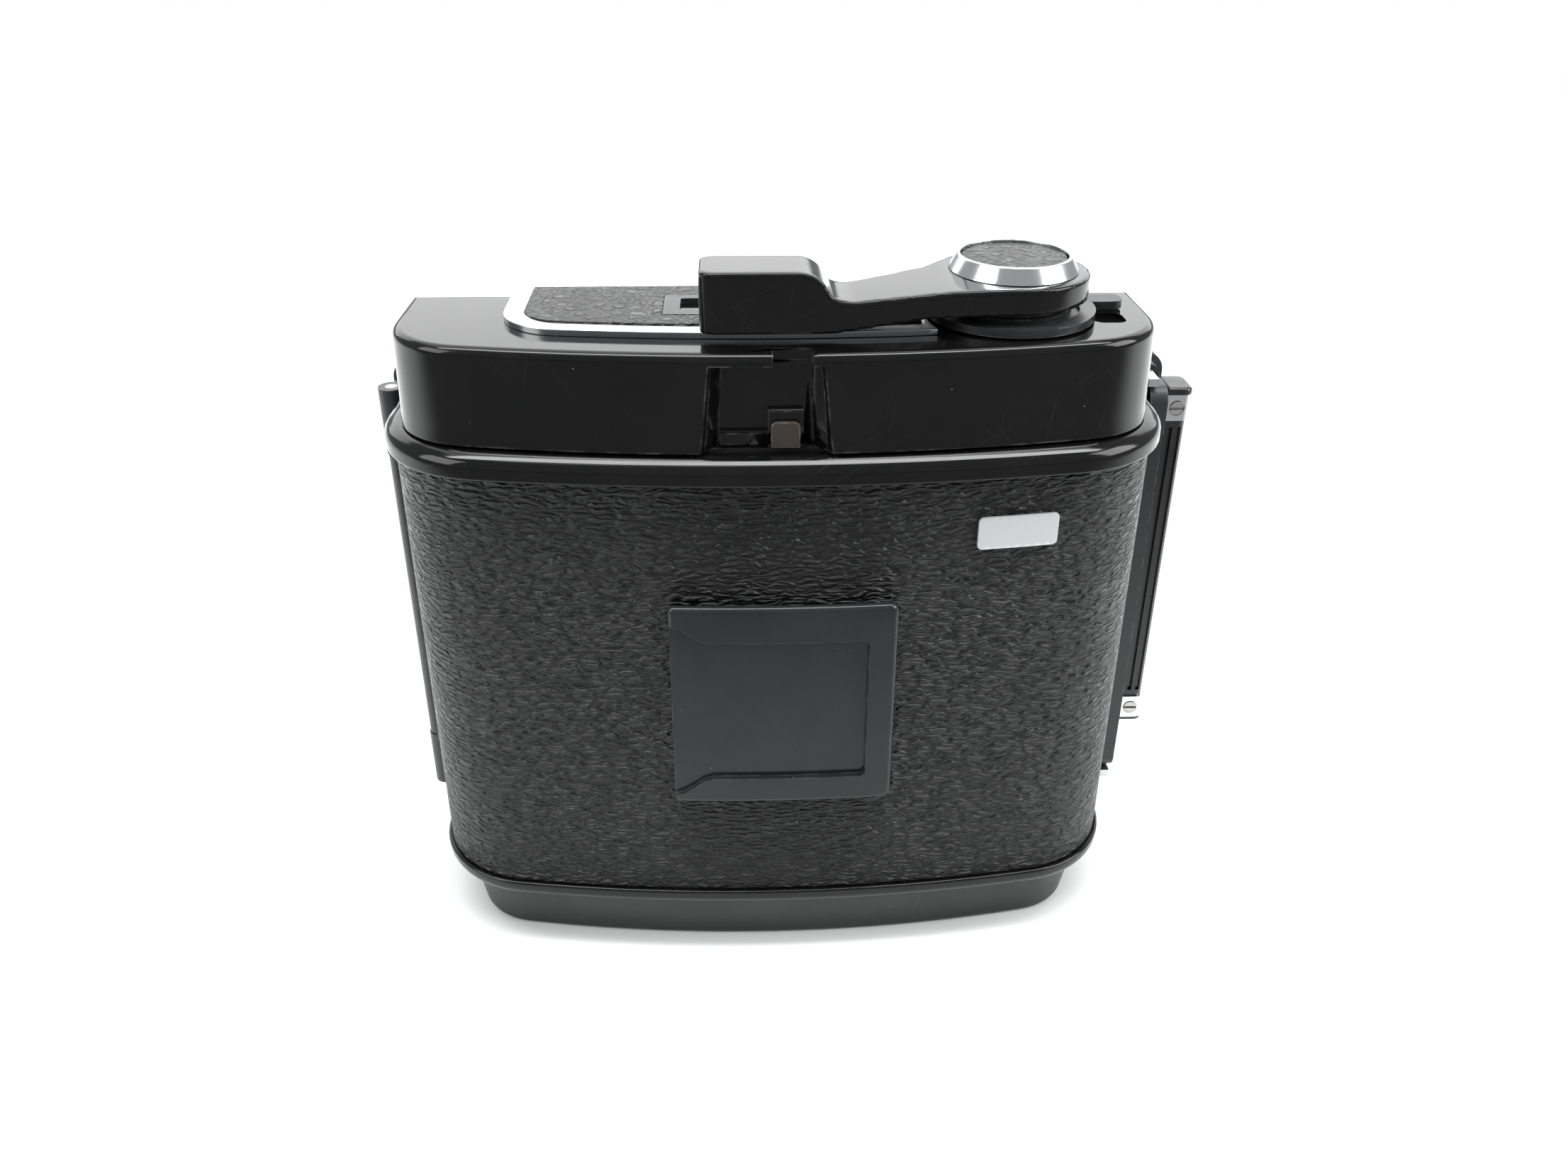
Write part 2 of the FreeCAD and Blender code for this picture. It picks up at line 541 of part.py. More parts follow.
gear_phase = AXIS_ANGLE
pinion_phase = AXIS_ANGLE + math.pi + math.pi / PINION_TEETH
tx, ty = TAKEUP
pinion = gear(tx, ty, GEAR_Z[0], GEAR_Z[1], PINION_TEETH, pinion_phase)
drive = [pinion, rod(tx, ty, SPOOL_Z[1], GEAR_Z[1], MODULE * (PINION_TEETH / 2 - 1.1) - 0.05),
         rod(tx, ty, SPOOL_Z[1] - 3.0, SPOOL_Z[1] + 0.2, 3.7),
         box(tx - 4.8, tx + 4.8, ty - 0.7, ty + 0.7, SPOOL_Z[1] - 2.6, SPOOL_Z[1] + 0.2)]
drive_shaft = rod(tx, ty, SPOOL_Z[1], GEAR_Z[0] - 0.4, DRIVE_R)
save("takeup_drive", fuse(drive + [drive_shaft]))

STUD_TRAVEL = 3.8
FLOOR_Z = 2.0
for name, (x, y) in (("takeup", TAKEUP), ("supply", SUPPLY)):
    top = LOW_PLATE_Z[1] + STUD_TRAVEL
    stud = fuse([rod(x, y, BASE_TOP_Z - 1.7, top - 0.8, STUD_R),
                 cone(x, y, top - 0.8, top, STUD_R, STUD_R - 0.8),
                 rod(x, y, BASE_TOP_Z - 1.7, BASE_TOP_Z - 0.4, 4.9)])
    save("spool_stud_" + name, stud)
    save("stud_spring_" + name, coil(x, y, FLOOR_Z, BASE_TOP_Z - 1.7, 3.6, 0.3, 4))
save("supply_pin", rod(SUPPLY[0], SUPPLY[1], SPOOL_Z[1] - 3.4, TOP_PLATE_Z[0] + 2, STUD_R))


# ============================ top cap ========================================
def cap_wire(inset, z, front=None):
    return d_wire(CAP_HALF - inset, CAP_REAR_Y + inset, CAP_ARC - inset, CAP_CORNER - inset,
                  CAP_FRONT_Y - (inset if front is None else front), z)


RECESS_FLOOR_Y = -12.6
DIAL = (-4.5, 0.2)
DIAL_Z = CAP_TOP_Z - 3.4
WINDOW = (-13.4, -6.4, 0.0, 5.8)
BEZEL = (-15.2, -4.6, -1.8, 6.8)
PANEL_X = (-36.6, HUB[0] - 10.1)
PANEL_CORNER = 8.5
TRIM_W = 2.8
TRIM_TOP = CAP_TOP_Z + 0.9


def panel_face(inset, z):
    """Top panel: open to the front, one big corner, bowed rear edge."""
    r = PANEL_CORNER - inset
    x0, x1 = PANEL_X[0] + inset, PANEL_X[1]
    arc = CAP_ARC - 6.4 - inset
    oy = CAP_REAR_Y + 6.4 + inset + arc
    fx = x0 + r
    fy = oy - math.sqrt((arc - r) ** 2 - fx ** 2)
    k = arc / (arc - r)
    t = V(fx * k, oy + (fy - oy) * k, z)
    mid = (math.pi + math.atan2(t.y - fy, t.x - fx) % (2 * math.pi)) / 2
    m = V(fx + r * math.cos(mid), fy + r * math.sin(mid), z)
    e = V(x1, oy - math.sqrt(arc ** 2 - x1 ** 2), z)
    front = CAP_FRONT_Y - 0.2
    edges = [Part.makeLine(V(x0, front, z), V(x0, fy, z)),
             Part.Arc(V(x0, fy, z), m, t).toShape(),
             Part.Arc(t, V(0, oy - arc, z), e).toShape(),
             Part.makeLine(e, V(x1, front, z)),
             Part.makeLine(V(x1, front, z), V(x0, front, z))]
    return Part.Wire(edges)


def panel_prism(inset, z0, z1):
    return Part.Face(panel_wire(inset, z0)).extrude(V(0, 0, z1 - z0))


panel_wire = panel_face


def make_cap():
    body = loft([cap_wire(-0.3, CAP_BASE_Z), cap_wire(0.0, CAP_BASE_Z + 2.0)])
    body = body.fuse(loft([cap_wire(0.0, CAP_BASE_Z + 2.0), cap_wire(0.7, CAP_TOP_Z)]))
    body = body.removeSplitter()
    body = rounded(body, 1.6, at_z(CAP_TOP_Z))
    room = loft([cap_wire(CAP_WALL, CAP_BASE_Z - 1), cap_wire(CAP_WALL + 0.7, CAP_TOP_Z - 2.0)])
    block = box(-12.5, 9.0, CAP_REAR_Y + 1, RECESS_FLOOR_Y + 2.4, CAP_BASE_Z, CAP_TOP_Z - 1)
    body = body.cut(room.cut(block))
    mouth = []
    for y, x0, x1 in ((CAP_REAR_Y - 1.2, -10.3, 6.6), (RECESS_FLOOR_Y, -7.4, 3.9)):
        mouth.append(Part.makePolygon([V(x0, y, CAP_BASE_Z - 1), V(x1, y, CAP_BASE_Z - 1),
                                       V(x1 - 1.2, y, CAP_TOP_Z - 1.6),
                                       V(x0 + 1.2, y, CAP_TOP_Z - 1.6),
                                       V(x0, y, CAP_BASE_Z - 1)]))
    body = body.cut(loft(mouth))
    body = body.cut(box(-1.0, 4.1, CAP_REAR_Y - 2, RECESS_FLOOR_Y, CAP_BASE_Z - 1, CAP_TOP_Z + 1))
    # latch slot, and the pocket above the latch button
    body = body.cut(box(-7.8, 3.0, RECESS_FLOOR_Y - 1, RECESS_FLOOR_Y + 4, LATCH_Z + 0.3,
                        LATCH_Z + 1.9))
    body = body.cut(box(-1.6, 3.0, RECESS_FLOOR_Y - 1, RECESS_FLOOR_Y + 0.9, LATCH_Z, LATCH_Z + 4.9))
    # raised seat of the leather panel, kept clear of the hub
    seat = panel_prism(TRIM_W, CAP_TOP_Z - 0.5, CAP_TOP_Z + 0.5)
    seat = seat.cut(rod(HUB[0], HUB[1], HUB_CUT_Z, HIGH, 14.0))
    body = body.fuse(seat)
    body = body.cut(rod(HUB[0], HUB[1], HUB_CUT_Z, HIGH, SHAFT_R + RUN_FIT))
    body = body.cut(box(WINDOW[0], WINDOW[1], WINDOW[2], WINDOW[3], HUB_CUT_Z, HIGH))
    # viewing slot beside the hub
    slot = box(HUB[0] + 11.0, HUB[0] + 15.3, -3.2, 1.0, CAP_TOP_Z - 0.8, CAP_TOP_Z + 1)
    body = body.cut(rounded(slot, 1.2, upright))
    return body.removeSplitter()


LATCH_Z = CAP_BASE_Z + 0.3
save("top_cap", make_cap())

hub_room = rod(HUB[0], HUB[1], HUB_CUT_Z, HIGH, 14.0)
bezel_room = box(BEZEL[0], BEZEL[1], BEZEL[2], BEZEL[3], HUB_CUT_Z, HIGH)
trim = loft([panel_wire(0, CAP_TOP_Z), panel_wire(0.15, TRIM_TOP - 0.35),
             ]).fuse(loft([panel_wire(0.15, TRIM_TOP - 0.35), panel_wire(0.5, TRIM_TOP)]))
trim = trim.cut(panel_prism(TRIM_W, HUB_CUT_Z, HIGH)).cut(hub_room)
save("panel_trim", trim.removeSplitter())
pad = panel_prism(TRIM_W, CAP_TOP_Z + 0.5, CAP_TOP_Z + 1.15).cut(hub_room).cut(bezel_room)
save("panel_leather", pad)
bezel = box(BEZEL[0], BEZEL[1], BEZEL[2], BEZEL[3], CAP_TOP_Z + 0.5, CAP_TOP_Z + 1.2)
bezel = bezel.cut(box(WINDOW[0] + 0.4, WINDOW[1] - 0.4, WINDOW[2] + 0.4, WINDOW[3] - 0.4, HUB_CUT_Z, HIGH))
save("window_bezel", bezel)
save("window_glass", box(WINDOW[0], WINDOW[1], WINDOW[2], WINDOW[3], CAP_TOP_Z - 0.7,
                         CAP_TOP_Z + 0.5))

collar = fuse([rod(HUB[0], HUB[1], CAP_TOP_Z, CAP_TOP_Z + 0.9, 9.2),
               rod(HUB[0], HUB[1], CAP_TOP_Z, CAP_TOP_Z + 1.8, 8.2),
               rod(HUB[0], HUB[1], CAP_TOP_Z, HUB_BASE_Z - GAP, 7.2)])
save("hub_collar", collar.cut(rod(HUB[0], HUB[1], HUB_CUT_Z, HIGH, SHAFT_R + 0.5)))

# exposure lever: a flat ring round the collar with a finger tab
ME_Z = (CAP_TOP_Z + GAP, CAP_TOP_Z + 1.4)
ME_R = 9.2 + 0.1
ring = rod(HUB[0], HUB[1], ME_Z[0], ME_Z[1], 11.4)
tab = box(HUB[0], HUB[0] + 15.9, HUB[1] + 1.0, HUB[1] + 4.6, ME_Z[0], ME_Z[1])
tab = rounded(tab, 1.4, lambda e: upright(e) and e.BoundBox.XMin > HUB[0] + 10)
ring = fuse([ring, tab]).cut(rod(HUB[0], HUB[1], HUB_CUT_Z, HIGH, ME_R))
save("exposure_lever", ring)


# ============================ wind lever =====================================
def make_lever():
    hx_, hy_ = HUB
    hub = rod(hx_, hy_, HUB_BASE_Z, HUB_TOP_Z, HUB_R)
    hub = rounded(hub, 0.9, at_z(HUB_TOP_Z))
    grip_x = (hx_ - 41.8, hx_ - 26.2)
    grip_y = (-12.0, -3.2)
    arm_top = HUB_TOP_Z - 0.4
    plan = [V(grip_x[0], grip_y[0], LEVER_UNDER_Z), V(grip_x[1], grip_y[0], LEVER_UNDER_Z),
            V(hx_ - 1.2, hy_ - HUB_R + 0.1, LEVER_UNDER_Z), V(hx_, hy_, LEVER_UNDER_Z),
            V(hx_ - 8.2, hy_ + 5.4, LEVER_UNDER_Z), V(hx_ - 18.1, 0.4, LEVER_UNDER_Z),
            V(grip_x[1] + 2.5, grip_y[1] + 0.8, LEVER_UNDER_Z),
            V(grip_x[1], grip_y[1], LEVER_UNDER_Z), V(grip_x[0], grip_y[1], LEVER_UNDER_Z)]
    arm = Part.Face(Part.makePolygon(plan + [plan[0]])).extrude(V(0, 0, arm_top - LEVER_UNDER_Z))
    # the underside climbs to the hub
    wedge = Part.makePolygon([V(hx_ - 27.6, -30, HUB_CUT_Z), V(hx_ + 30, -30, HUB_CUT_Z),
                              V(hx_ + 30, -30, HUB_BASE_Z),
                              V(hx_ - HUB_R - 2.4, -30, HUB_BASE_Z),
                              V(hx_ - 24.6, -30, LEVER_UNDER_Z),
                              V(hx_ - 27.6, -30, LEVER_UNDER_Z), V(hx_ - 27.6, -30, HUB_CUT_Z)])
    arm = arm.cut(Part.Face(wedge).extrude(V(0, 60, 0)))
    arm = arm.cut(rod(hx_, hy_, HUB_CUT_Z, HIGH, HUB_R - 0.5))
    arm = rounded(arm, 0.8, lambda e: at_z(arm_top)(e) and e.BoundBox.XMax < hx_ - 1.6
                  and e.BoundBox.YMin > -13 and e.Length > 3)
    side = [V(grip_x[0], 0, LEVER_UNDER_Z), V(grip_x[1] + 2.4, 0, LEVER_UNDER_Z),
            V(grip_x[1] + 2.4, 0, arm_top - 0.8), V(grip_x[1] + 1.6, 0, arm_top + 0.2),
            V(grip_x[1] - 0.6, 0, GRIP_TOP_Z - 0.3),
            V(grip_x[1] - 1.6, 0, GRIP_TOP_Z), V(grip_x[0], 0, GRIP_TOP_Z)]
    block = Part.Face(Part.makePolygon(side + [side[0]]))
    block = block.extrude(V(0, grip_y[1] - grip_y[0], 0))
    block.translate(V(0, grip_y[0], 0))
    block = rounded(block, 1.3, lambda e: e.BoundBox.ZMax > LEVER_UNDER_Z + 1
                    and e.BoundBox.XMax < grip_x[1] - 1)
    lever = fuse([hub, arm, block])
    return lever.cut(rod(hx_, hy_, HUB_CUT_Z, HIGH, SHAFT_R))


save("wind_lever", make_lever())
hub_ring = cone(HUB[0], HUB[1], HUB_TOP_Z, HUB_TOP_Z + 2.1, 9.3, 8.0)
hub_ring = hub_ring.fuse(rod(HUB[0], HUB[1], HUB_TOP_Z - 0.3, HUB_TOP_Z, 9.3))
save("lever_ring", hub_ring.cut(rod(HUB[0], HUB[1], HUB_CUT_Z, HIGH, 7.6)).cut(
    rod(HUB[0], HUB[1], HUB_BASE_Z, HUB_TOP_Z, HUB_R)))
save("lever_disc", rod(HUB[0], HUB[1], HUB_TOP_Z, HUB_TOP_Z + 1.7, 7.6))
wheel = gear(HUB[0], HUB[1], GEAR_Z[0], GEAR_Z[1], GEAR_TEETH, gear_phase)
shaft = fuse([wheel, rod(HUB[0], HUB[1], CAP_BASE_Z + 0.4, HUB_TOP_Z, SHAFT_R),
              rod(HUB[0], HUB[1], 82.1, CAP_BASE_Z + 0.4, PIVOT_R)])
save("wind_shaft", shaft)

# return spring wound round the shaft, one foot in the cap
spring_turns = tube(HUB[0], HUB[1], GEAR_Z[1] + 1.0, CAP_TOP_Z - 3.2, 4.6, 3.6)
for i in range(4):
    z = GEAR_Z[1] + 1.9 + i * 1.1
    spring_turns = spring_turns.cut(tube(HUB[0], HUB[1], z, z + 0.25, 5.0, 4.1))
save("return_spring", spring_turns)

# ============================ counter, latch =================================
dial = fuse([rod(DIAL[0], DIAL[1], DIAL_Z, DIAL_Z + 0.8, 8.6),
             rod(DIAL[0], DIAL[1], DIAL_Z - 3.1, DIAL_Z, 2.4)])
save("counter_dial", dial.cut(rod(DIAL[0], DIAL[1], 80, HIGH, 1.2 + RUN_FIT)))
save("counter_post", fuse([rod(DIAL[0], DIAL[1], CAP_BASE_Z, DIAL_Z + 1.0, 1.2),
                           rod(DIAL[0], DIAL[1], CAP_BASE_Z, DIAL_Z - 3.5, 2.4)]))

button = box(-1.25, 2.6, RECESS_FLOOR_Y - 1.7, RECESS_FLOOR_Y - 0.35, LATCH_Z, LATCH_Z + 3.6)
button = rounded(button, 0.7, lambda e: abs(e.BoundBox.XLength) < 1e-6
                 and abs(e.BoundBox.ZLength) < 1e-6 and e.BoundBox.ZMin > LATCH_Z + 2)
stem = box(-0.9, 2.2, RECESS_FLOOR_Y - 0.4, RECESS_FLOOR_Y + 3.6, LATCH_Z + 0.6, LATCH_Z + 1.6)
bar = box(-22.0, 3.4, RECESS_FLOOR_Y + 2.8, RECESS_FLOOR_Y + 4.2, LATCH_Z + 0.4, LATCH_Z + 1.8)
save("latch_button", fuse([button, stem, bar]))
save("latch_post", rod(-31.0, RECESS_FLOOR_Y + 3.5, CAP_BASE_Z, CAP_BASE_Z + 3.0, 1.5))


# ============================ bottom cap =====================================
def base_wire(k, inset, z):
    return d_wire(BASE_HALF[k] - inset, BASE_REAR_Y[k] + inset, BASE_ARC - inset,
                  BASE_CORNER - inset, CAP_FRONT_Y - inset, z)


base = loft([base_wire(0, 0.9, 0.0), base_wire(0, 0.0, 0.9)])
base = base.fuse(loft([base_wire(0, 0.0, 0.9), base_wire(1, 0.0, BASE_TOP_Z)]))
base = base.removeSplitter()
base = base.cut(loft([base_wire(0, CAP_WALL, FLOOR_Z), base_wire(1, CAP_WALL, BASE_TOP_Z + 0.01)]))
BASE_SCREWS = [(-30.0, -1.0), (30.0, -1.0), (0.0, 6.0)]
for x, y in BASE_SCREWS:
    base = base.cut(rod(x, y, -1, 1.2, 2.4))
save("bottom_cap", base)
save("base_screws", *[rod(x, y, 0.25, 1.2, 2.1).cut(
    box(x - 3, x + 3, y - 0.25, y + 0.25, 0, 0.7)) for x, y in BASE_SCREWS])
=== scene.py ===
"""Looks of a roll-film magazine for a reflex press camera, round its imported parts.

Sizes are in millimetres and are turned into metres where a mesh is made.
"""
import logging
import math
from dataclasses import dataclass, field
from enum import Enum
from typing import Callable

import bmesh
import bpy
from mathutils import Matrix, Vector


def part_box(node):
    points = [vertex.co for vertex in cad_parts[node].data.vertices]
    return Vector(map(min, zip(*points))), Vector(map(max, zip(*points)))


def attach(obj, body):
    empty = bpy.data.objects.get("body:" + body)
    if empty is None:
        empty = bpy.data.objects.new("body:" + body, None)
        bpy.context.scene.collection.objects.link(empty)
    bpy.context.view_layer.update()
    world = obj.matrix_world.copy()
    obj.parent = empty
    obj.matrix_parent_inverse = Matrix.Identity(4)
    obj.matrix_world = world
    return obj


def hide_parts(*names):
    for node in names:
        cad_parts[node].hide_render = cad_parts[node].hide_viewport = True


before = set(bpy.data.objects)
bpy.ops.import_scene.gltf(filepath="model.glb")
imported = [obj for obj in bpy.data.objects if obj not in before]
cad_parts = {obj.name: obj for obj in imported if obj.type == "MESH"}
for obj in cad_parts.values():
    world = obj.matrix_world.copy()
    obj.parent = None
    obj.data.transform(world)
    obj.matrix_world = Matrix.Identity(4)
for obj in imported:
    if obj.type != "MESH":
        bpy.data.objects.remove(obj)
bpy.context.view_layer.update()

LOG = logging.getLogger("magazine")
MM = 0.001
UPRIGHT = (0.0, 0.0, 1.0)
Point = tuple[float, float, float]


# ---- modelling bench ----------------------------------------------------------
class Combine(Enum):
    """Ways to combine a body with a tool."""

    CUT = "DIFFERENCE"
    ADD = "UNION"
    KEEP = "INTERSECT"


class Part(Enum):
    """What a pick selects."""

    CORNER = "VERT"
    EDGE = "EDGE"


def metres(x: float, y: float, z: float) -> Vector:
    """Return a place given in millimetres as metres."""
    return Vector((x, y, z)) * MM


def clear_bench() -> None:
    """Leave edit mode and deselect every object."""
    if bpy.context.mode != "OBJECT":
        bpy.ops.object.mode_set(mode="OBJECT")
    bpy.ops.object.select_all(action="DESELECT")


class Bench:
    """One piece under work, shaped by hand moves given in millimetres."""

    def __init__(self, name: str, piece: bpy.types.Object) -> None:
        """Take a fresh primitive as the piece under work.

        Args:
            name: Name for the piece.
            piece: Object that has just been added.
        """
        self.piece = piece
        piece.name = name
        piece.data.name = name
        self.at = Vector((0.0, 0.0, 0.0))
        bpy.ops.object.transform_apply(location=True, rotation=True, scale=True)

    @classmethod
    def pen(cls, name: str, start: Point) -> "Bench":
        """Set down a point that an outline is drawn from.

        Args:
            name: Name for the piece.
            start: First point of the outline.

        Returns:
            The bench, in edit mode with the point selected.
        """
        clear_bench()
        bpy.ops.mesh.primitive_plane_add(size=MM, location=metres(*start))
        bench = cls(name, bpy.context.object)
        bench.edit()
        bpy.ops.mesh.select_mode(type="VERT")
        bpy.ops.mesh.select_all(action="SELECT")
        bpy.ops.mesh.merge(type="CENTER")
        bench.at = Vector(start)
        return bench

    @classmethod
    def block(cls, name: str, low: Point, high: Point) -> "Bench":
        """Add a block between two corners.

        Args:
            name: Name for the piece.
            low: Lowest corner.
            high: Highest corner.

        Returns:
            The bench, in object mode.
        """
        clear_bench()
        a, b = Vector(low), Vector(high)
        bpy.ops.mesh.primitive_cube_add(size=1.0, location=(a + b) * 0.5 * MM, scale=(b - a) * MM)
        return cls(name, bpy.context.object)

    @classmethod
    def rod(cls, name: str, foot: Point, radius: float, height: float, sides: int = 96) -> "Bench":
        """Add an upright rod.

        Args:
            name: Name for the piece.
            foot: Middle of its lower end.
            radius: Radius.
            height: Height.
            sides: Number of sides.

        Returns:
            The bench, in object mode.
        """
        clear_bench()
        bpy.ops.mesh.primitive_cylinder_add(
            vertices=sides, radius=radius * MM, depth=height * MM,
            location=metres(foot[0], foot[1], foot[2] + height / 2.0))
        return cls(name, bpy.context.object)

    def edit(self) -> "Bench":
        """Enter edit mode on the piece."""
        if bpy.context.mode == "OBJECT":
            self.take()
            bpy.ops.object.mode_set(mode="EDIT")
        return self

    def take(self) -> None:
        """Make the piece the selected and active one."""
        bpy.context.view_layer.objects.active = self.piece
        self.piece.select_set(True)

    def line(self, x: float, y: float, z: float) -> "Bench":
        """Draw a straight line to a place.

        Args:
            x: Across.
            y: Forwards.
            z: Up.

        Returns:
            The bench.
        """
        there = Vector((x, y, z))
        bpy.ops.mesh.extrude_region()
        bpy.ops.transform.translate(value=(there - self.at) * MM)
        self.at = there
        return self

    def lines(self, points: list[Point]) -> "Bench":
        """Draw straight lines through several places."""
        for point in points:
            self.line(*point)
        return self

    def turn(self, centre: Point, degrees: float, steps: int) -> "Bench":
        """Carry the selection round an upright axis, drawing an arc or a swept wall.

        Args:
            centre: A point on the axis.
            degrees: Turn, counterclockwise seen from above.
            steps: Number of steps.

        Returns:
            The bench.
        """
        middle = Vector(centre)
        bpy.ops.mesh.spin(steps=steps, angle=-math.radians(degrees), center=middle * MM,
                          axis=UPRIGHT)
        spun = Matrix.Rotation(math.radians(degrees), 3, Vector(UPRIGHT))
        self.at = middle + spun @ (self.at - middle)
        return self

    def push(self, x: float, y: float, z: float) -> "Bench":
        """Extrude the selection along a straight way."""
        bpy.ops.mesh.extrude_region()
        bpy.ops.transform.translate(value=metres(x, y, z))
        self.at += Vector((x, y, z))
        return self

    def fill(self) -> "Bench":
        """Close the drawn outline with one face."""
        bpy.ops.mesh.select_all(action="SELECT")
        bpy.ops.mesh.remove_doubles(threshold=2e-6)
        bpy.ops.mesh.edge_face_add()
        return self

    def face_up(self, up: bool = True) -> "Bench":
        """Turn the one face of a new outline up or down."""
        mesh = bmesh.from_edit_mesh(self.piece.data)
        mesh.normal_update()
        if (list(mesh.faces)[0].normal.z > 0) != up:
            bpy.ops.mesh.flip_normals()
        return self

    def take_faces(self) -> "Bench":
        """Select every face."""
        bpy.ops.mesh.select_mode(type="FACE")
        bpy.ops.mesh.select_all(action="SELECT")
        return self

    def dome(self, radius: float, rings: int) -> "Bench":
        """Round the selected face over in rings."""
        turns = [math.radians(90.0 * ring / rings) for ring in range(rings + 1)]
        for a0, a1 in zip(turns, turns[1:]):
            self.step_in(radius * (math.cos(a0) - math.cos(a1)),
                         radius * (math.sin(a1) - math.sin(a0)))
        return self

    def step_in(self, inwards: float, outwards: float) -> "Bench":
        """Inset the selected face and move it along its normal."""
        bpy.ops.mesh.inset(thickness=inwards * MM, depth=outwards * MM, use_even_offset=True)
        return self

    def pick(self, kind: Part, test: Callable[[Vector, Vector], bool]) -> "Bench":
        """Select what passes a test on its middle and its normal or direction.

        Args:
            kind: Corners or edges.
            test: Given a middle in millimetres, and a unit normal or edge direction.

        Returns:
            The bench, in edit mode.
        """
        self.edit()
        bpy.ops.mesh.select_mode(type=kind.value)
        bpy.ops.mesh.select_all(action="DESELECT")
        mesh = bmesh.from_edit_mesh(self.piece.data)
        if kind is Part.EDGE:
            ends = [(edge, *(vert.co for vert in edge.verts)) for edge in mesh.edges]
            found = [(edge, (a + b) / 2.0, (b - a).normalized()) for edge, a, b in ends]
        else:
            found = [(vert, vert.co, vert.normal) for vert in mesh.verts]
        for item, middle, way in found:
            if test(middle / MM, way):
                item.select_set(True)
        mesh.select_flush_mode()
        bmesh.update_edit_mesh(self.piece.data)
        return self

    def soften(self, width: float, segments: int = 4) -> "Bench":
        """Bevel the selected edges."""
        bpy.ops.mesh.bevel(offset=width * MM, segments=segments, affect="EDGES", clamp_overlap=True)
        return self

    def blunt(self, width: float, segments: int = 4) -> "Bench":
        """Round the selected corners of a flat outline."""
        bpy.ops.mesh.bevel(offset=width * MM, segments=segments, affect="VERTICES",
                           clamp_overlap=True)
        return self

    def rest(self) -> "Bench":
        """Leave edit mode with every face turned outwards."""
        self.edit()
        bpy.ops.mesh.select_all(action="SELECT")
        bpy.ops.mesh.remove_doubles(threshold=1e-6)
        bpy.ops.mesh.normals_make_consistent(inside=False)
        bpy.ops.object.mode_set(mode="OBJECT")
        return self

    def trim(self, z: float, above: bool = False) -> "Bench":
        """Slice off what lies below a height, or above it, and close the cut.

        Args:
            z: Height of the cut.
            above: Slice off the upper part.

        Returns:
            The bench.
        """
        self.edit()
        bpy.ops.mesh.select_all(action="SELECT")
        bpy.ops.mesh.bisect(plane_co=metres(0.0, 0.0, z), plane_no=UPRIGHT, use_fill=True,
                            clear_inner=not above, clear_outer=above)
        return self.rest()

    def modify(self, kind: str, **settings: object) -> "Bench":
        """Add a modifier and apply it at once.

        Args:
            kind: The modifier's type.
            settings: Its settings.

        Returns:
            The bench.
        """
        clear_bench()
        self.take()
        modifier = self.piece.modifiers.new(kind.lower(), kind)
        for key, value in settings.items():
            setattr(modifier, key, value)
        bpy.ops.object.modifier_apply(modifier=modifier.name)
        return self

    def combine(self, tool: "Bench", how: Combine) -> "Bench":
        """Combine the piece with a tool, and put the tool away.

        Args:
            tool: The other body.
            how: Cut it away, add it or keep what both fill.

        Returns:
            The bench.
        """
        tool.rest()
        self.modify("BOOLEAN", operation=how.value, object=tool.piece, solver="EXACT")
        bpy.data.objects.remove(tool.piece, do_unlink=True)
        return self

    def round_edges(self, width: float, segments: int = 3, angle: float = 32.0) -> "Bench":
        """Round every edge sharper than an angle."""
        return self.modify("BEVEL", width=width * MM, segments=segments, limit_method="ANGLE",
                           angle_limit=math.radians(angle), use_clamp_overlap=True,
                           miter_outer="MITER_ARC", harden_normals=False)

    def smooth(self, angle: float = 35.0) -> bpy.types.Object:
        """Shade the finished piece smooth, but for its sharp edges.

        Args:
            angle: Edges above this stay sharp.

        Returns:
            The finished object.
        """
        clear_bench()
        self.take()
        bpy.ops.object.shade_smooth_by_angle(angle=math.radians(angle))
        self.modify("WEIGHTED_NORMAL", keep_sharp=True, weight=80)
        return self.piece


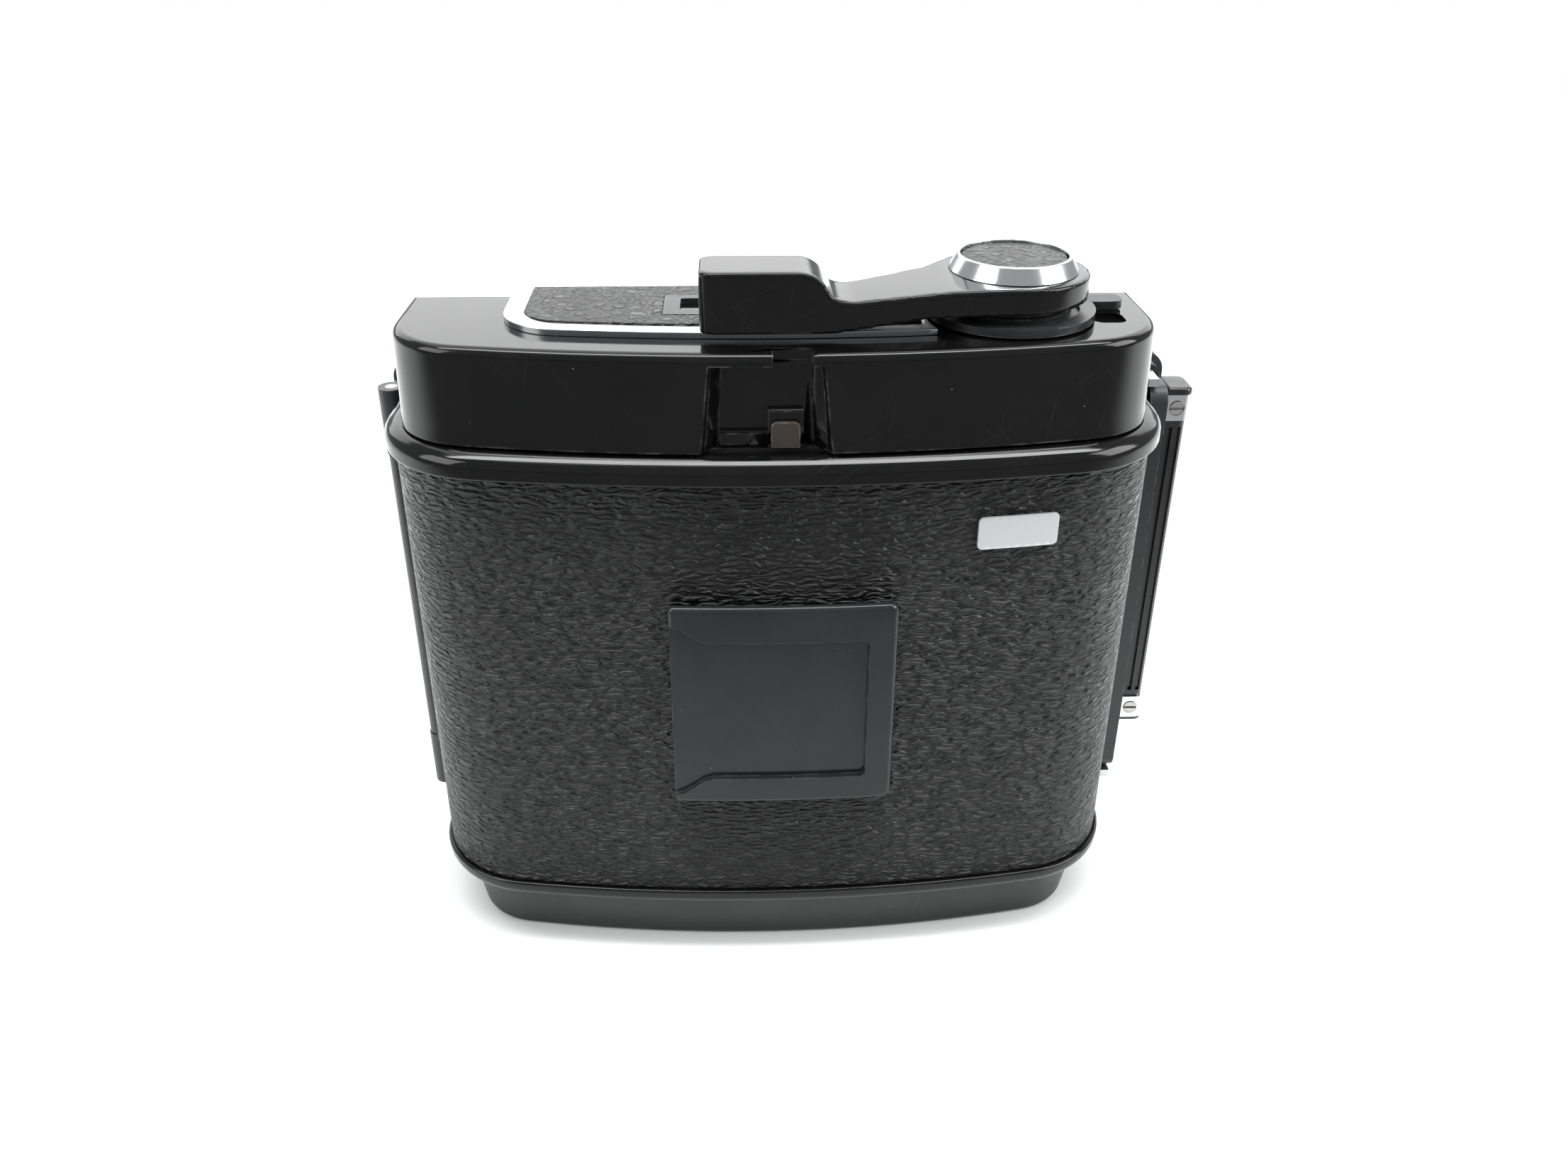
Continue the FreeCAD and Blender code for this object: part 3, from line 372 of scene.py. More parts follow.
# ---- shared effects -------------------------------------------------------------
class Tree:
    """Short way to add and join the nodes of one tree."""

    def __init__(self, tree: bpy.types.NodeTree) -> None:
        """Take a node tree and empty it."""
        self.tree = tree
        tree.nodes.clear()

    def put(self, kind: str, inputs: dict | None = None, **settings: object) -> bpy.types.Node:
        """Add a node.

        Args:
            kind: Node type after "ShaderNode".
            inputs: Values or sockets by input name or number.
            settings: The node's own settings.

        Returns:
            The node.
        """
        node = self.tree.nodes.new("ShaderNode" + kind)
        for key, value in settings.items():
            setattr(node, key, value)
        for key, value in (inputs or {}).items():
            socket = node.inputs[key]
            if isinstance(value, bpy.types.NodeSocket):
                self.tree.links.new(value, socket)
            else:
                socket.default_value = value
        return node

    def join(self, source: bpy.types.NodeSocket, end: bpy.types.NodeSocket) -> None:
        """Link two sockets."""
        self.tree.links.new(source, end)

    def maths(self, how: str, a: object, b: object = 0.0, clamp: bool = False) -> bpy.types.NodeSocket:
        """Return the result of one sum on two values or sockets."""
        return self.put("Math", {0: a, 1: b}, operation=how, use_clamp=clamp).outputs[0]

    def scaled(self, vector: object, x: float, y: float, z: float) -> bpy.types.NodeSocket:
        """Return a vector stretched by three factors."""
        return self.put("VectorMath", {0: vector, 1: (x, y, z)}, operation="MULTIPLY").outputs[0]

    def spread(self, value: object, low: float, high: float, to_low: float = 0.0,
               to_high: float = 1.0) -> bpy.types.NodeSocket:
        """Return a value mapped smoothly from one range to another.

        Args:
            value: The value's socket.
            low: Start of its range.
            high: End of its range.
            to_low: Result at the start.
            to_high: Result at the end.

        Returns:
            The result's socket.
        """
        node = self.put("MapRange", {"Value": value, "From Min": low, "From Max": high,
                                     "To Min": to_low, "To Max": to_high},
                        interpolation_type="SMOOTHSTEP")
        return node.outputs[0]

    def colours(self, factor: object, a: object, b: object) -> bpy.types.NodeSocket:
        """Return a mix of two colours."""
        return self.put("Mix", {0: factor, 6: a, 7: b}, data_type="RGBA").outputs[2]

    def noise(self, vector: object, scale: float, detail: float = 2.0,
              rough: float = 0.5) -> bpy.types.NodeSocket:
        """Return plain noise at a scale in cells per millimetre."""
        return self.put("TexNoise", {"Vector": vector, "Scale": scale, "Detail": detail,
                                     "Roughness": rough}).outputs[0]


def group(name: str, inputs: list[tuple[str, str, float]],
          outputs: list[str]) -> tuple[Tree, object, object]:
    """Start a shared effect as a node group.

    Args:
        name: The group's name.
        inputs: Name, socket type and default of each input.
        outputs: Names of its value outputs.

    Returns:
        The tree, its input node and its output node.
    """
    made = bpy.data.node_groups.new(name, "ShaderNodeTree")
    for label, kind, value in inputs:
        socket = made.interface.new_socket(label, in_out="INPUT", socket_type=kind)
        if kind == "NodeSocketFloat":
            socket.default_value = value
    for label in outputs:
        made.interface.new_socket(label, in_out="OUTPUT", socket_type="NodeSocketFloat")
    tree = Tree(made)
    return tree, made.nodes.new("NodeGroupInput"), made.nodes.new("NodeGroupOutput")


@dataclass(frozen=True)
class Effects:
    """The shared effects: hide grain with its painted highlight and painted crease shade, scratches,
    dust, mottling and edge rub.
    """

    hide: bpy.types.NodeTree
    scratches: bpy.types.NodeTree
    dust: bpy.types.NodeTree
    mottle: bpy.types.NodeTree
    rub: bpy.types.NodeTree

    @staticmethod
    def make() -> "Effects":
        """Build the effects once for all finishes."""
        return Effects(hide=Effects.make_hide(), scratches=Effects.make_scratches(),
                       dust=Effects.make_dust(), mottle=Effects.make_mottle(),
                       rub=Effects.make_rub())

    @staticmethod
    def make_hide() -> bpy.types.NodeTree:
        """Wrinkled grain that runs level round the body: height, a painted-highlight mask for the tops
        and a painted-shade mask for the creases.
        """
        tree, given, result = group("hide_grain", [("Place", "NodeSocketVector", 0.0),
                                                   ("Size", "NodeSocketFloat", 1.0)],
                                    ["Height", "Tops Painted Highlight", "Creases Painted Shade"])
        place = tree.put("VectorMath", {0: given.outputs[0], "Scale": given.outputs[1]},
                         operation="SCALE").outputs[0]
        warp = tree.put("TexNoise", {"Vector": tree.scaled(place, 0.42, 0.42, 0.42), "Scale": 1.0,
                                     "Detail": 2.0, "Roughness": 0.5})
        shift = tree.put("VectorMath", {0: warp.outputs[1], 1: (0.5, 0.5, 0.5)},
                         operation="SUBTRACT").outputs[0]
        bent = tree.put("VectorMath", {0: place, 1: tree.scaled(shift, 1.6, 1.6, 1.0)},
                        operation="ADD").outputs[0]
        cells = tree.scaled(bent, 0.40, 0.40, 1.45)
        edges = tree.put("TexVoronoi", {"Vector": cells, "Scale": 1.0, "Randomness": 0.95},
                         feature="DISTANCE_TO_EDGE").outputs[0]
        domes = tree.spread(edges, 0.04, 0.32)
        strands = tree.noise(tree.scaled(bent, 0.34, 0.34, 1.8), 1.0, 1.0, 0.5)
        strands = tree.spread(strands, 0.38, 0.6)
        pebbles = tree.noise(place, 4.2, 2.0, 0.6)
        height = tree.maths("ADD", tree.maths("MULTIPLY", domes, 0.62),
                            tree.maths("MULTIPLY", strands, 0.42))
        height = tree.maths("ADD", height, tree.maths("MULTIPLY", pebbles, 0.10))
        tree.join(height, result.inputs[0])
        # The tops get a painted highlight and the creases a painted shade.
        tree.join(tree.spread(height, 0.62, 0.98), result.inputs[1])
        tree.join(tree.spread(height, 0.56, 0.22), result.inputs[2])
        return tree.tree

    @staticmethod
    def make_scratches() -> bpy.types.NodeTree:
        """Sparse hairline scratches in two directions."""
        tree, given, result = group("hair_scratches", [("Place", "NodeSocketVector", 0.0)], ["Mask"])
        masks = []
        for turn, length in ((0.5, 0.035), (-0.9, 0.05), (1.4, 0.06)):
            turned = tree.put("VectorRotate", {"Vector": given.outputs[0], "Angle": turn},
                              rotation_type="Y_AXIS").outputs[0]
            lines = tree.noise(tree.scaled(turned, length, length, 5.0), 1.0, 1.0, 0.4)
            masks.append(tree.spread(lines, 0.715, 0.76))
        both = tree.maths("MAXIMUM", masks[0], masks[1])
        both = tree.maths("MAXIMUM", both, masks[2])
        patches = tree.spread(tree.noise(given.outputs[0], 0.09), 0.42, 0.62)
        tree.join(tree.maths("MULTIPLY", both, patches), result.inputs[0])
        return tree.tree

    @staticmethod
    def make_dust() -> bpy.types.NodeTree:
        """Small pale specks, a few to each square centimetre."""
        tree, given, result = group("dust", [("Place", "NodeSocketVector", 0.0)], ["Mask"])
        cells = tree.put("TexVoronoi", {"Vector": given.outputs[0], "Scale": 0.5,
                                        "Randomness": 1.0})
        chosen = tree.put("SeparateColor", {0: cells.outputs[1]})
        near = tree.spread(cells.outputs[0], 0.07, 0.03)
        some = tree.maths("GREATER_THAN", chosen.outputs[0], 0.9)
        tree.join(tree.maths("MULTIPLY", near, some), result.inputs[0])
        return tree.tree

    @staticmethod
    def make_mottle() -> bpy.types.NodeTree:
        """Slow and fine uneven patches, as of handling."""
        tree, given, result = group("mottle", [("Place", "NodeSocketVector", 0.0)],
                                    ["Slow", "Fine"])
        slow = tree.spread(tree.noise(given.outputs[0], 0.11, 3.0, 0.55), 0.32, 0.68)
        fine = tree.noise(given.outputs[0], 2.6, 3.0, 0.6)
        tree.join(slow, result.inputs[0])
        tree.join(fine, result.inputs[1])
        return tree.tree

    @staticmethod
    def make_rub() -> bpy.types.NodeTree:
        """Paint rubbed thin along the outer edges."""
        tree, given, result = group("edge_rub", [("Place", "NodeSocketVector", 0.0),
                                                 ("Radius", "NodeSocketFloat", 0.0004)], ["Mask"])
        soft = tree.put("Bevel", {"Radius": given.outputs[1]}, samples=4).outputs[0]
        true = tree.put("NewGeometry").outputs["Normal"]
        flat = tree.put("VectorMath", {0: soft, 1: true}, operation="DOT_PRODUCT").outputs["Value"]
        edge = tree.spread(flat, 0.985, 0.90)
        patches = tree.spread(tree.noise(given.outputs[0], 0.35, 4.0, 0.65), 0.42, 0.66)
        tree.join(tree.maths("MULTIPLY", edge, patches), result.inputs[0])
        return tree.tree


# ---- finishes --------------------------------------------------------------------
Colour = tuple[float, float, float]


@dataclass(frozen=True)
class Finish:
    """One surface finish: its plain numbers, how it is worn, and for leather the painted highlight and
    painted shade of its grain.
    """

    name: str
    colour: Colour
    second: Colour
    roughness: float
    metallic: float = 0.0
    specular: float = 0.5
    vary: float = 0.06
    grain: float = 0.0
    grain_scale: float = 3.0
    brushed: tuple[float, float, float] | None = None
    hide: float = 0.0
    hide_size: float = 1.0
    scratches: float = 0.0
    dust: float = 0.0
    rub: float = 0.0
    rub_colour: Colour = (0.45, 0.44, 0.42)
    sheen: float = 0.0
    transmission: float = 0.0
    ior: float = 1.5

    def make(self, effects: Effects) -> bpy.types.Material:
        """Build the finish as a material.

        Args:
            effects: The shared effects.

        Returns:
            The material.
        """
        material = bpy.data.materials.new(self.name)
        material.use_nodes = True
        material.diffuse_color = (*self.colour, 1.0)
        tree = Tree(material.node_tree)
        output = tree.put("OutputMaterial")
        shader = tree.put("BsdfPrincipled", {
            "Metallic": self.metallic, "Specular IOR Level": self.specular, "IOR": self.ior,
            "Sheen Weight": self.sheen, "Sheen Roughness": 0.4,
            "Transmission Weight": self.transmission})
        tree.join(shader.outputs[0], output.inputs[0])
        raw = tree.put("TexCoord").outputs["Object"]
        place = tree.put("VectorMath", {0: raw, "Scale": 1000.0}, operation="SCALE").outputs[0]
        colour, rough, bump = self.surface(tree, effects, place)
        tree.join(colour, shader.inputs["Base Color"])
        tree.join(rough, shader.inputs["Roughness"])
        if bump is not None:
            tree.join(bump, shader.inputs["Normal"])
        return material

    def surface(self, tree: Tree, effects: Effects, place: bpy.types.NodeSocket) -> tuple:
        """Join the effects into colour, roughness and bump.

        Args:
            tree: The material's tree.
            effects: The shared effects.
            place: Position in millimetres.

        Returns:
            Sockets of the colour, roughness and normal.
        """
        mottle = self.use(tree, effects.mottle, place)
        colour = tree.colours(mottle.outputs[0], (*self.colour, 1), (*self.second, 1))
        low, high = self.roughness - self.vary, self.roughness + self.vary
        rough = tree.spread(mottle.outputs[0], 0.0, 1.0, max(low, 0.02), high)
        height = None
        if self.brushed:
            lines = tree.noise(tree.scaled(place, *self.brushed), 1.0, 3.0, 0.6)
            rough = tree.maths("ADD", rough, tree.spread(lines, 0.3, 0.7, -0.05, 0.07))
            height = tree.maths("MULTIPLY", lines, 0.004)
        if self.grain:
            fine = tree.noise(place, self.grain_scale, 3.0, 0.6)
            fine = tree.maths("MULTIPLY", fine, self.grain)
            height = fine if height is None else tree.maths("ADD", height, fine)
        if self.hide:
            hide = self.use(tree, effects.hide, place)
            hide.inputs["Size"].default_value = self.hide_size
            grown = tree.maths("MULTIPLY", hide.outputs[0], self.hide)
            height = grown if height is None else tree.maths("ADD", height, grown)
            rough = tree.maths("SUBTRACT", rough, tree.maths("MULTIPLY", hide.outputs[1], 0.14))
            # Painted highlight on the grain's tops and painted shade in its creases, mixed into the
            # colour.
            painted_highlight_colour = tuple(min(1.0, c * 4.4) for c in self.second)
            painted_crease_shade_colour = tuple(c * 0.16 for c in self.colour)
            colour = tree.colours(tree.maths("MULTIPLY", hide.outputs[1], 0.6), colour, (*painted_highlight_colour, 1))
            colour = tree.colours(tree.maths("MULTIPLY", hide.outputs[2], 0.85), colour, (*painted_crease_shade_colour, 1))
        if self.scratches:
            marks = self.use(tree, effects.scratches, place).outputs[0]
            marks = tree.maths("MULTIPLY", marks, self.scratches)
            rough = tree.maths("ADD", rough, tree.maths("MULTIPLY", marks, 0.3))
            colour = tree.colours(tree.maths("MULTIPLY", marks, 0.25), colour, (0.35, 0.34, 0.33, 1))
        if self.rub:
            worn = self.use(tree, effects.rub, place).outputs[0]
            colour = tree.colours(tree.maths("MULTIPLY", worn, self.rub), colour, (*self.rub_colour, 1))
        if self.dust:
            specks = self.use(tree, effects.dust, place).outputs[0]
            specks = tree.maths("MULTIPLY", specks, self.dust)
            colour = tree.colours(specks, colour, (0.5, 0.48, 0.45, 1))
            rough = tree.maths("ADD", rough, tree.maths("MULTIPLY", specks, 0.5), clamp=True)
        bump = None
        if height is not None:
            bump = tree.put("Bump", {"Height": height, "Distance": MM, "Strength": 1.0}).outputs[0]
        return colour, rough, bump

    @staticmethod
    def use(tree: Tree, effect: bpy.types.NodeTree, place: bpy.types.NodeSocket) -> bpy.types.Node:
        """Add a shared effect to a material."""
        node = tree.put("Group", node_tree=effect)
        tree.join(place, node.inputs["Place"])
        return node


FINISHES = {look.name: look for look in (
    Finish("gloss_black", (0.0030, 0.0031, 0.0034), (0.0048, 0.0047, 0.0046), 0.10,
           specular=0.34, vary=0.03, grain=0.0015, grain_scale=0.35,
           scratches=0.12, dust=0.3, rub=0.22),
    Finish("satin_black", (0.016, 0.017, 0.018), (0.022, 0.023, 0.024), 0.36,
           vary=0.05, grain=0.004, grain_scale=5.0, scratches=0.25, dust=0.3,
           rub=0.3),
    Finish("base_enamel", (0.0060, 0.0067, 0.0063), (0.0095, 0.0104, 0.0099), 0.42,
           vary=0.05, grain=0.006, grain_scale=4.0, scratches=0.3, dust=0.4,
           rub=0.35),
    Finish("leatherette", (0.0042, 0.0047, 0.0041), (0.0064, 0.0069, 0.0061), 0.40,
           vary=0.04, hide=0.60, hide_size=0.9, dust=0.3, specular=0.34),
    Finish("panel_hide", (0.0080, 0.0084, 0.0078), (0.0112, 0.0118, 0.0108), 0.37,
           vary=0.04, hide=0.45, hide_size=1.15, dust=0.3, specular=0.55),
    Finish("plate_silver", (0.86, 0.86, 0.86), (0.80, 0.80, 0.80), 0.36,
           metallic=0.6, vary=0.05, grain=0.002, scratches=0.3, dust=0.2),
    Finish("memo_plastic", (0.0150, 0.0158, 0.0166), (0.0190, 0.0200, 0.0209), 0.17,
           specular=0.42, vary=0.04, grain=0.002, grain_scale=2.0,
           scratches=0.12, dust=0.4, rub=0.1),
    Finish("bright_chrome", (0.70, 0.71, 0.72), (0.60, 0.61, 0.61), 0.19,
           metallic=1.0, vary=0.05, grain=0.001, grain_scale=2.0,
           scratches=0.4, dust=0.2),
    Finish("satin_steel", (0.46, 0.45, 0.44), (0.41, 0.40, 0.39), 0.32,
           metallic=1.0, vary=0.04, brushed=(0.4, 0.4, 6.0), scratches=0.5),
    Finish("slide_steel", (0.150, 0.148, 0.145), (0.135, 0.133, 0.130), 0.38,
           metallic=1.0, vary=0.03, brushed=(0.3, 5.0, 5.0), scratches=0.6),
    Finish("dark_steel", (0.16, 0.135, 0.115), (0.10, 0.085, 0.075), 0.40,
           metallic=1.0, vary=0.08, brushed=(5.0, 5.0, 0.5), scratches=0.8,
           rub=0.55, rub_colour=(0.75, 0.70, 0.64)),
    Finish("brass_gear", (0.72, 0.50, 0.20), (0.60, 0.40, 0.15), 0.28,
           metallic=1.0, vary=0.06, grain=0.003, scratches=0.4),
    Finish("cast_alloy", (0.012, 0.012, 0.013), (0.018, 0.018, 0.019), 0.50,
           vary=0.06, grain=0.012, grain_scale=3.0, scratches=0.3, dust=0.3,
           rub=0.45),
    Finish("plate_alloy", (0.020, 0.021, 0.022), (0.028, 0.029, 0.030), 0.40,
           vary=0.06, grain=0.006, grain_scale=3.5, scratches=0.6, dust=0.3,
           rub=0.5),
    Finish("grip_plastic", (0.007, 0.007, 0.008), (0.011, 0.011, 0.012), 0.28,
           vary=0.05, grain=0.003, grain_scale=2.0, scratches=0.3, dust=0.4),
    Finish("spool_plastic", (0.010, 0.010, 0.011), (0.016, 0.016, 0.017), 0.35,
           vary=0.05, grain=0.003, scratches=0.4),
    Finish("felt", (0.012, 0.012, 0.012), (0.020, 0.020, 0.020), 0.9, vary=0.04,
           grain=0.08, grain_scale=6.0, sheen=0.4),
    Finish("clear_window", (0.95, 0.96, 0.96), (0.90, 0.92, 0.92), 0.04,
           vary=0.02, transmission=1.0, ior=1.49),
    Finish("dial_white", (0.72, 0.72, 0.68), (0.62, 0.62, 0.58), 0.45, vary=0.05,
           grain=0.003, scratches=0.2, dust=0.2),
)}


class Paintbox:
    """Makes each finish once and puts it on pieces."""

    def __init__(self) -> None:
        """Build the shared effects."""
        self.effects = Effects.make()
        self.made: dict[str, bpy.types.Material] = {}

    def material(self, name: str) -> bpy.types.Material:
        """Return a finish's material, made on first use."""
        if name not in self.made:
            self.made[name] = FINISHES[name].make(self.effects)
        return self.made[name]

    def dress(self, piece: bpy.types.Object, name: str) -> None:
        """Give a whole piece one finish."""
        piece.data.materials.clear()
        piece.data.materials.append(self.material(name))

    def dress_node(self, node: str, name: str) -> None:
        """Give a carried-over part one finish without touching its mesh."""
        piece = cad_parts[node]
        for slot in piece.material_slots:
            slot.material = self.material(name)


# ---- outlines ----------------------------------------------------------------------
@dataclass(frozen=True)
class BowedOutline:
    """Flat-fronted outline with a bowed rear and two rounded rear corners."""

    half: float
    rear: float
    arc: float
    corner: float
    front: float
    corner_steps: int = 14
    arc_steps: int = 36

    @property
    def arc_y(self) -> float:
        """Return where the bow's centre lies."""
        return self.rear + self.arc

    @property
    def corner_x(self) -> float:
        """Return how far out the corner centres lie."""
        return self.half - self.corner

    @property
    def corner_y(self) -> float:
        """Return how far forward the corner centres lie."""
        return self.arc_y - math.sqrt((self.arc - self.corner) ** 2 - self.corner_x ** 2)

    @property
    def bow(self) -> float:
        """Return half of the bow's angle in degrees."""
        return math.degrees(math.asin(self.corner_x / (self.arc - self.corner)))

    def sweep(self, bench: Bench) -> None:
        """Carry the selected section, at the front of the left side, round to the right.

        Args:
            bench: The bench that holds the section.
        """
        bench.push(0.0, self.corner_y - self.front, 0.0)
        bench.turn((-self.corner_x, self.corner_y, 0.0), 90.0 - self.bow, self.corner_steps)
        bench.turn((0.0, self.arc_y, 0.0), 2.0 * self.bow, self.arc_steps)
        bench.turn((self.corner_x, self.corner_y, 0.0), 90.0 - self.bow, self.corner_steps)
        bench.push(0.0, self.front - self.corner_y, 0.0)

    def plate(self, name: str, z: float, up: bool = True) -> Bench:
        """Draw the outline level and fill it.

        Args:
            name: Name for the piece.
            z: Its height.
            up: Whether the face looks up.

        Returns:
            The bench with the face selected.
        """
        bench = Bench.pen(name, (-self.half, self.front, z))
        bench.line(-self.half, self.corner_y, z)
        bench.turn((-self.corner_x, self.corner_y, z), 90.0 - self.bow, self.corner_steps)
        bench.turn((0.0, self.arc_y, z), 2.0 * self.bow, self.arc_steps)
        bench.turn((self.corner_x, self.corner_y, z), 90.0 - self.bow, self.corner_steps)
        bench.line(self.half, self.front, z)
        bench.fill()
        return bench.face_up(up)


def hub_place() -> tuple[float, float]:
    """Return where the wind lever's axis stands."""
    low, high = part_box("lever_disc")
    return ((low.x + high.x) / 2.0 / MM, (low.y + high.y) / 2.0 / MM)


# ---- sub-assemblies --------------------------------------------------------------------
@dataclass
class RearCover:
    """The swinging rear cover: shell with two rims, leather, memo holder, plate."""

    outline: BowedOutline = BowedOutline(53.4, -16.0, 245.0, 15.8, 14.8)
    foot: float = 9.0
    top: float = 84.4
    skin_low: float = 12.0
    skin_high: float = 80.7
    skin: float = 0.7
    wall: float = 1.5
    rim: float = 1.25
    low_rim: float = 0.7
    memo_x: tuple[float, float] = (-15.4, 16.3)
    memo_z: tuple[float, float] = (30.0, 63.0)
    memo_proud: float = 1.6
    plate_x: tuple[float, float] = (26.6, 37.8)
    plate_z: tuple[float, float] = (70.2, 75.0)

    def build(self, paint: Paintbox) -> None:
        """Make and dress every piece of the cover.

        Args:
            paint: The finishes.
        """
        finish(self.shell(), paint, "gloss_black", "cover", "rear_cover")
        finish(self.leather(), paint, "leatherette", "cover", "cover_leather")
        finish(self.memo_frame(), paint, "memo_plastic", "cover", "memo_holder")
        finish(self.plate(), paint, "plate_silver", "cover", "name_plate")

    def x_at(self, out: float) -> float:
        """Return where the left wall stands, this far out from the leather."""
        return -self.outline.half - out

    def shell(self) -> bpy.types.Object:
        """Sweep the wall with its two rims round the body.

        Returns:
            The finished shell.
        """
        y = self.outline.front
        inner = -self.skin - self.wall
        profile = [(inner, self.foot), (-0.5, self.foot), (self.low_rim, self.foot + 1.2),
                   (self.low_rim, self.skin_low), (-self.skin, self.skin_low),
                   (-self.skin, self.skin_high), (self.rim, self.skin_high),
                   (self.rim, self.top - 1.2), (-0.5, self.top), (inner, self.top)]
        bench = Bench.pen("cover_shell", (self.x_at(profile[0][0]), y, profile[0][1]))
        bench.lines([(self.x_at(out), y, z) for out, z in profile[1:]])
        bench.line(self.x_at(profile[0][0]), y, profile[0][1])
        bench.fill()
        for out, z, width in ((self.rim, self.top - 1.2, 0.9), (-0.5, self.top, 0.6),
                              (self.rim, self.skin_high, 0.45), (self.low_rim, self.skin_low, 0.4),
                              (self.low_rim, self.foot + 1.2, 0.7), (-0.5, self.foot, 0.4)):
            spot = Vector((self.x_at(out), y, z))
            bench.pick(Part.CORNER, lambda at, _n: (at - spot).length < 0.05)
            bench.blunt(width, 4)
        self.outline.sweep(bench.take_faces())
        bench.rest()
        return bench.smooth(50.0)

    def leather(self) -> bpy.types.Object:
        """Sweep the leather between the rims.

        Returns:
            The finished leather.
        """
        y = self.outline.front
        low, high = self.skin_low + 0.02, self.skin_high - 0.02
        bench = Bench.pen("cover_skin", (self.x_at(-self.skin), y, low))
        bench.lines([(self.x_at(0.0), y, low), (self.x_at(0.0), y, high),
                     (self.x_at(-self.skin), y, high), (self.x_at(-self.skin), y, low)])
        bench.fill()
        bench.pick(Part.CORNER, lambda at, _n: abs(at.x - self.x_at(0.0)) < 0.05)
        bench.blunt(0.35, 3)
        self.outline.sweep(bench.take_faces())
        bench.rest()
        return bench.smooth(60.0)

    def bowed_slab(self, name: str, x: tuple[float, float], z: tuple[float, float], low: float,
                   high: float, steps: int = 16) -> Bench:
        """Make a slab that follows the cover's bow.

        Args:
            name: Name for the piece.
            x: Its two sides.
            z: Its foot and top.
            low: How far its inner face stands out from the leather.
            high: How far its outer face stands out from the leather.
            steps: Steps across.

        Returns:
            The bench.
        """
        arc, centre = self.outline.arc, self.outline.arc_y
        a0, a1 = (math.asin(side / arc) for side in x)
        rim = [(arc + low, z[0]), (arc + high, z[0]), (arc + high, z[1]), (arc + low, z[1])]
        rim = [(r * math.sin(a0), centre - r * math.cos(a0), h) for r, h in rim]
        bench = Bench.pen(name, rim[0])
        bench.lines(rim[1:])
        bench.line(*rim[0])
        bench.fill()
        bench.turn((0.0, centre, 0.0), math.degrees(a1 - a0), steps)
        return bench.rest()

    def memo_frame(self) -> bpy.types.Object:
        """Make the memo holder: a bowed plate with a pocket open to the left.

        Returns:
            The finished holder.
        """
        (x0, x1), (z0, z1) = self.memo_x, self.memo_z
        bench = self.bowed_slab("memo_frame", self.memo_x, self.memo_z, 0.0, self.memo_proud)
        bench.pick(Part.EDGE, lambda at, way: abs(way.y) > 0.8 and at.x > x1 - 1.0)
        bench.soften(1.3, 5)
        bench.rest()
        bench.round_edges(0.8, 5, 50.0)
        pocket = Bench.pen("pocket", (x0 - 2.0, -20.0, z0 + 1.2))
        pocket.line(x0, -20.0, z0 + 1.2)
        pocket.lines([(x0 + 1.4, -20.0, z0 + 1.75), (x0 + 3.0, -20.0, z0 + 2.9),
                      (x0 + 4.4, -20.0, z0 + 3.95), (x0 + 5.8, -20.0, z0 + 4.4),
                      (x1 - 4.4, -20.0, z0 + 4.4), (x1 - 3.9, -20.0, z0 + 4.9),
                      (x1 - 3.9, -20.0, z1 - 6.1), (x1 - 4.4, -20.0, z1 - 5.6),
                      (x0 + 5.8, -20.0, z1 - 5.6), (x0 + 4.2, -20.0, z1 - 5.2),
                      (x0 + 2.6, -20.0, z1 - 4.1), (x0 + 1.2, -20.0, z1 - 3.2),
                      (x0, -20.0, z1 - 2.9), (x0 - 2.0, -20.0, z1 - 2.9),
                      (x0 - 2.0, -20.0, z0 + 1.2)])
        pocket.fill()
        pocket.push(0.0, 8.0, 0.0)
        pocket.rest()
        core = self.bowed_slab("core", (x0 - 4.0, x1 + 4.0), (z0 - 3.0, z1 + 3.0), 0.7, 4.0)
        pocket.combine(core, Combine.KEEP)
        bench.combine(pocket, Combine.CUT)
        bench.round_edges(0.3, 3, 40.0)
        return bench.smooth(40.0)

    def plate(self) -> bpy.types.Object:
        """Make the plain bright plate.

        Returns:
            The finished plate.
        """
        bench = self.bowed_slab("plain_plate", self.plate_x, self.plate_z, 0.0, 0.5, 8)
        middle = (self.plate_z[0] + self.plate_z[1]) / 2.0
        bench.pick(Part.EDGE, lambda at, way: abs(way.y) > 0.8 and abs(at.z - middle) > 2.0)
        bench.soften(1.1, 5)
        bench.rest()
        bench.round_edges(0.14, 2, 40.0)
        return bench.smooth(40.0)


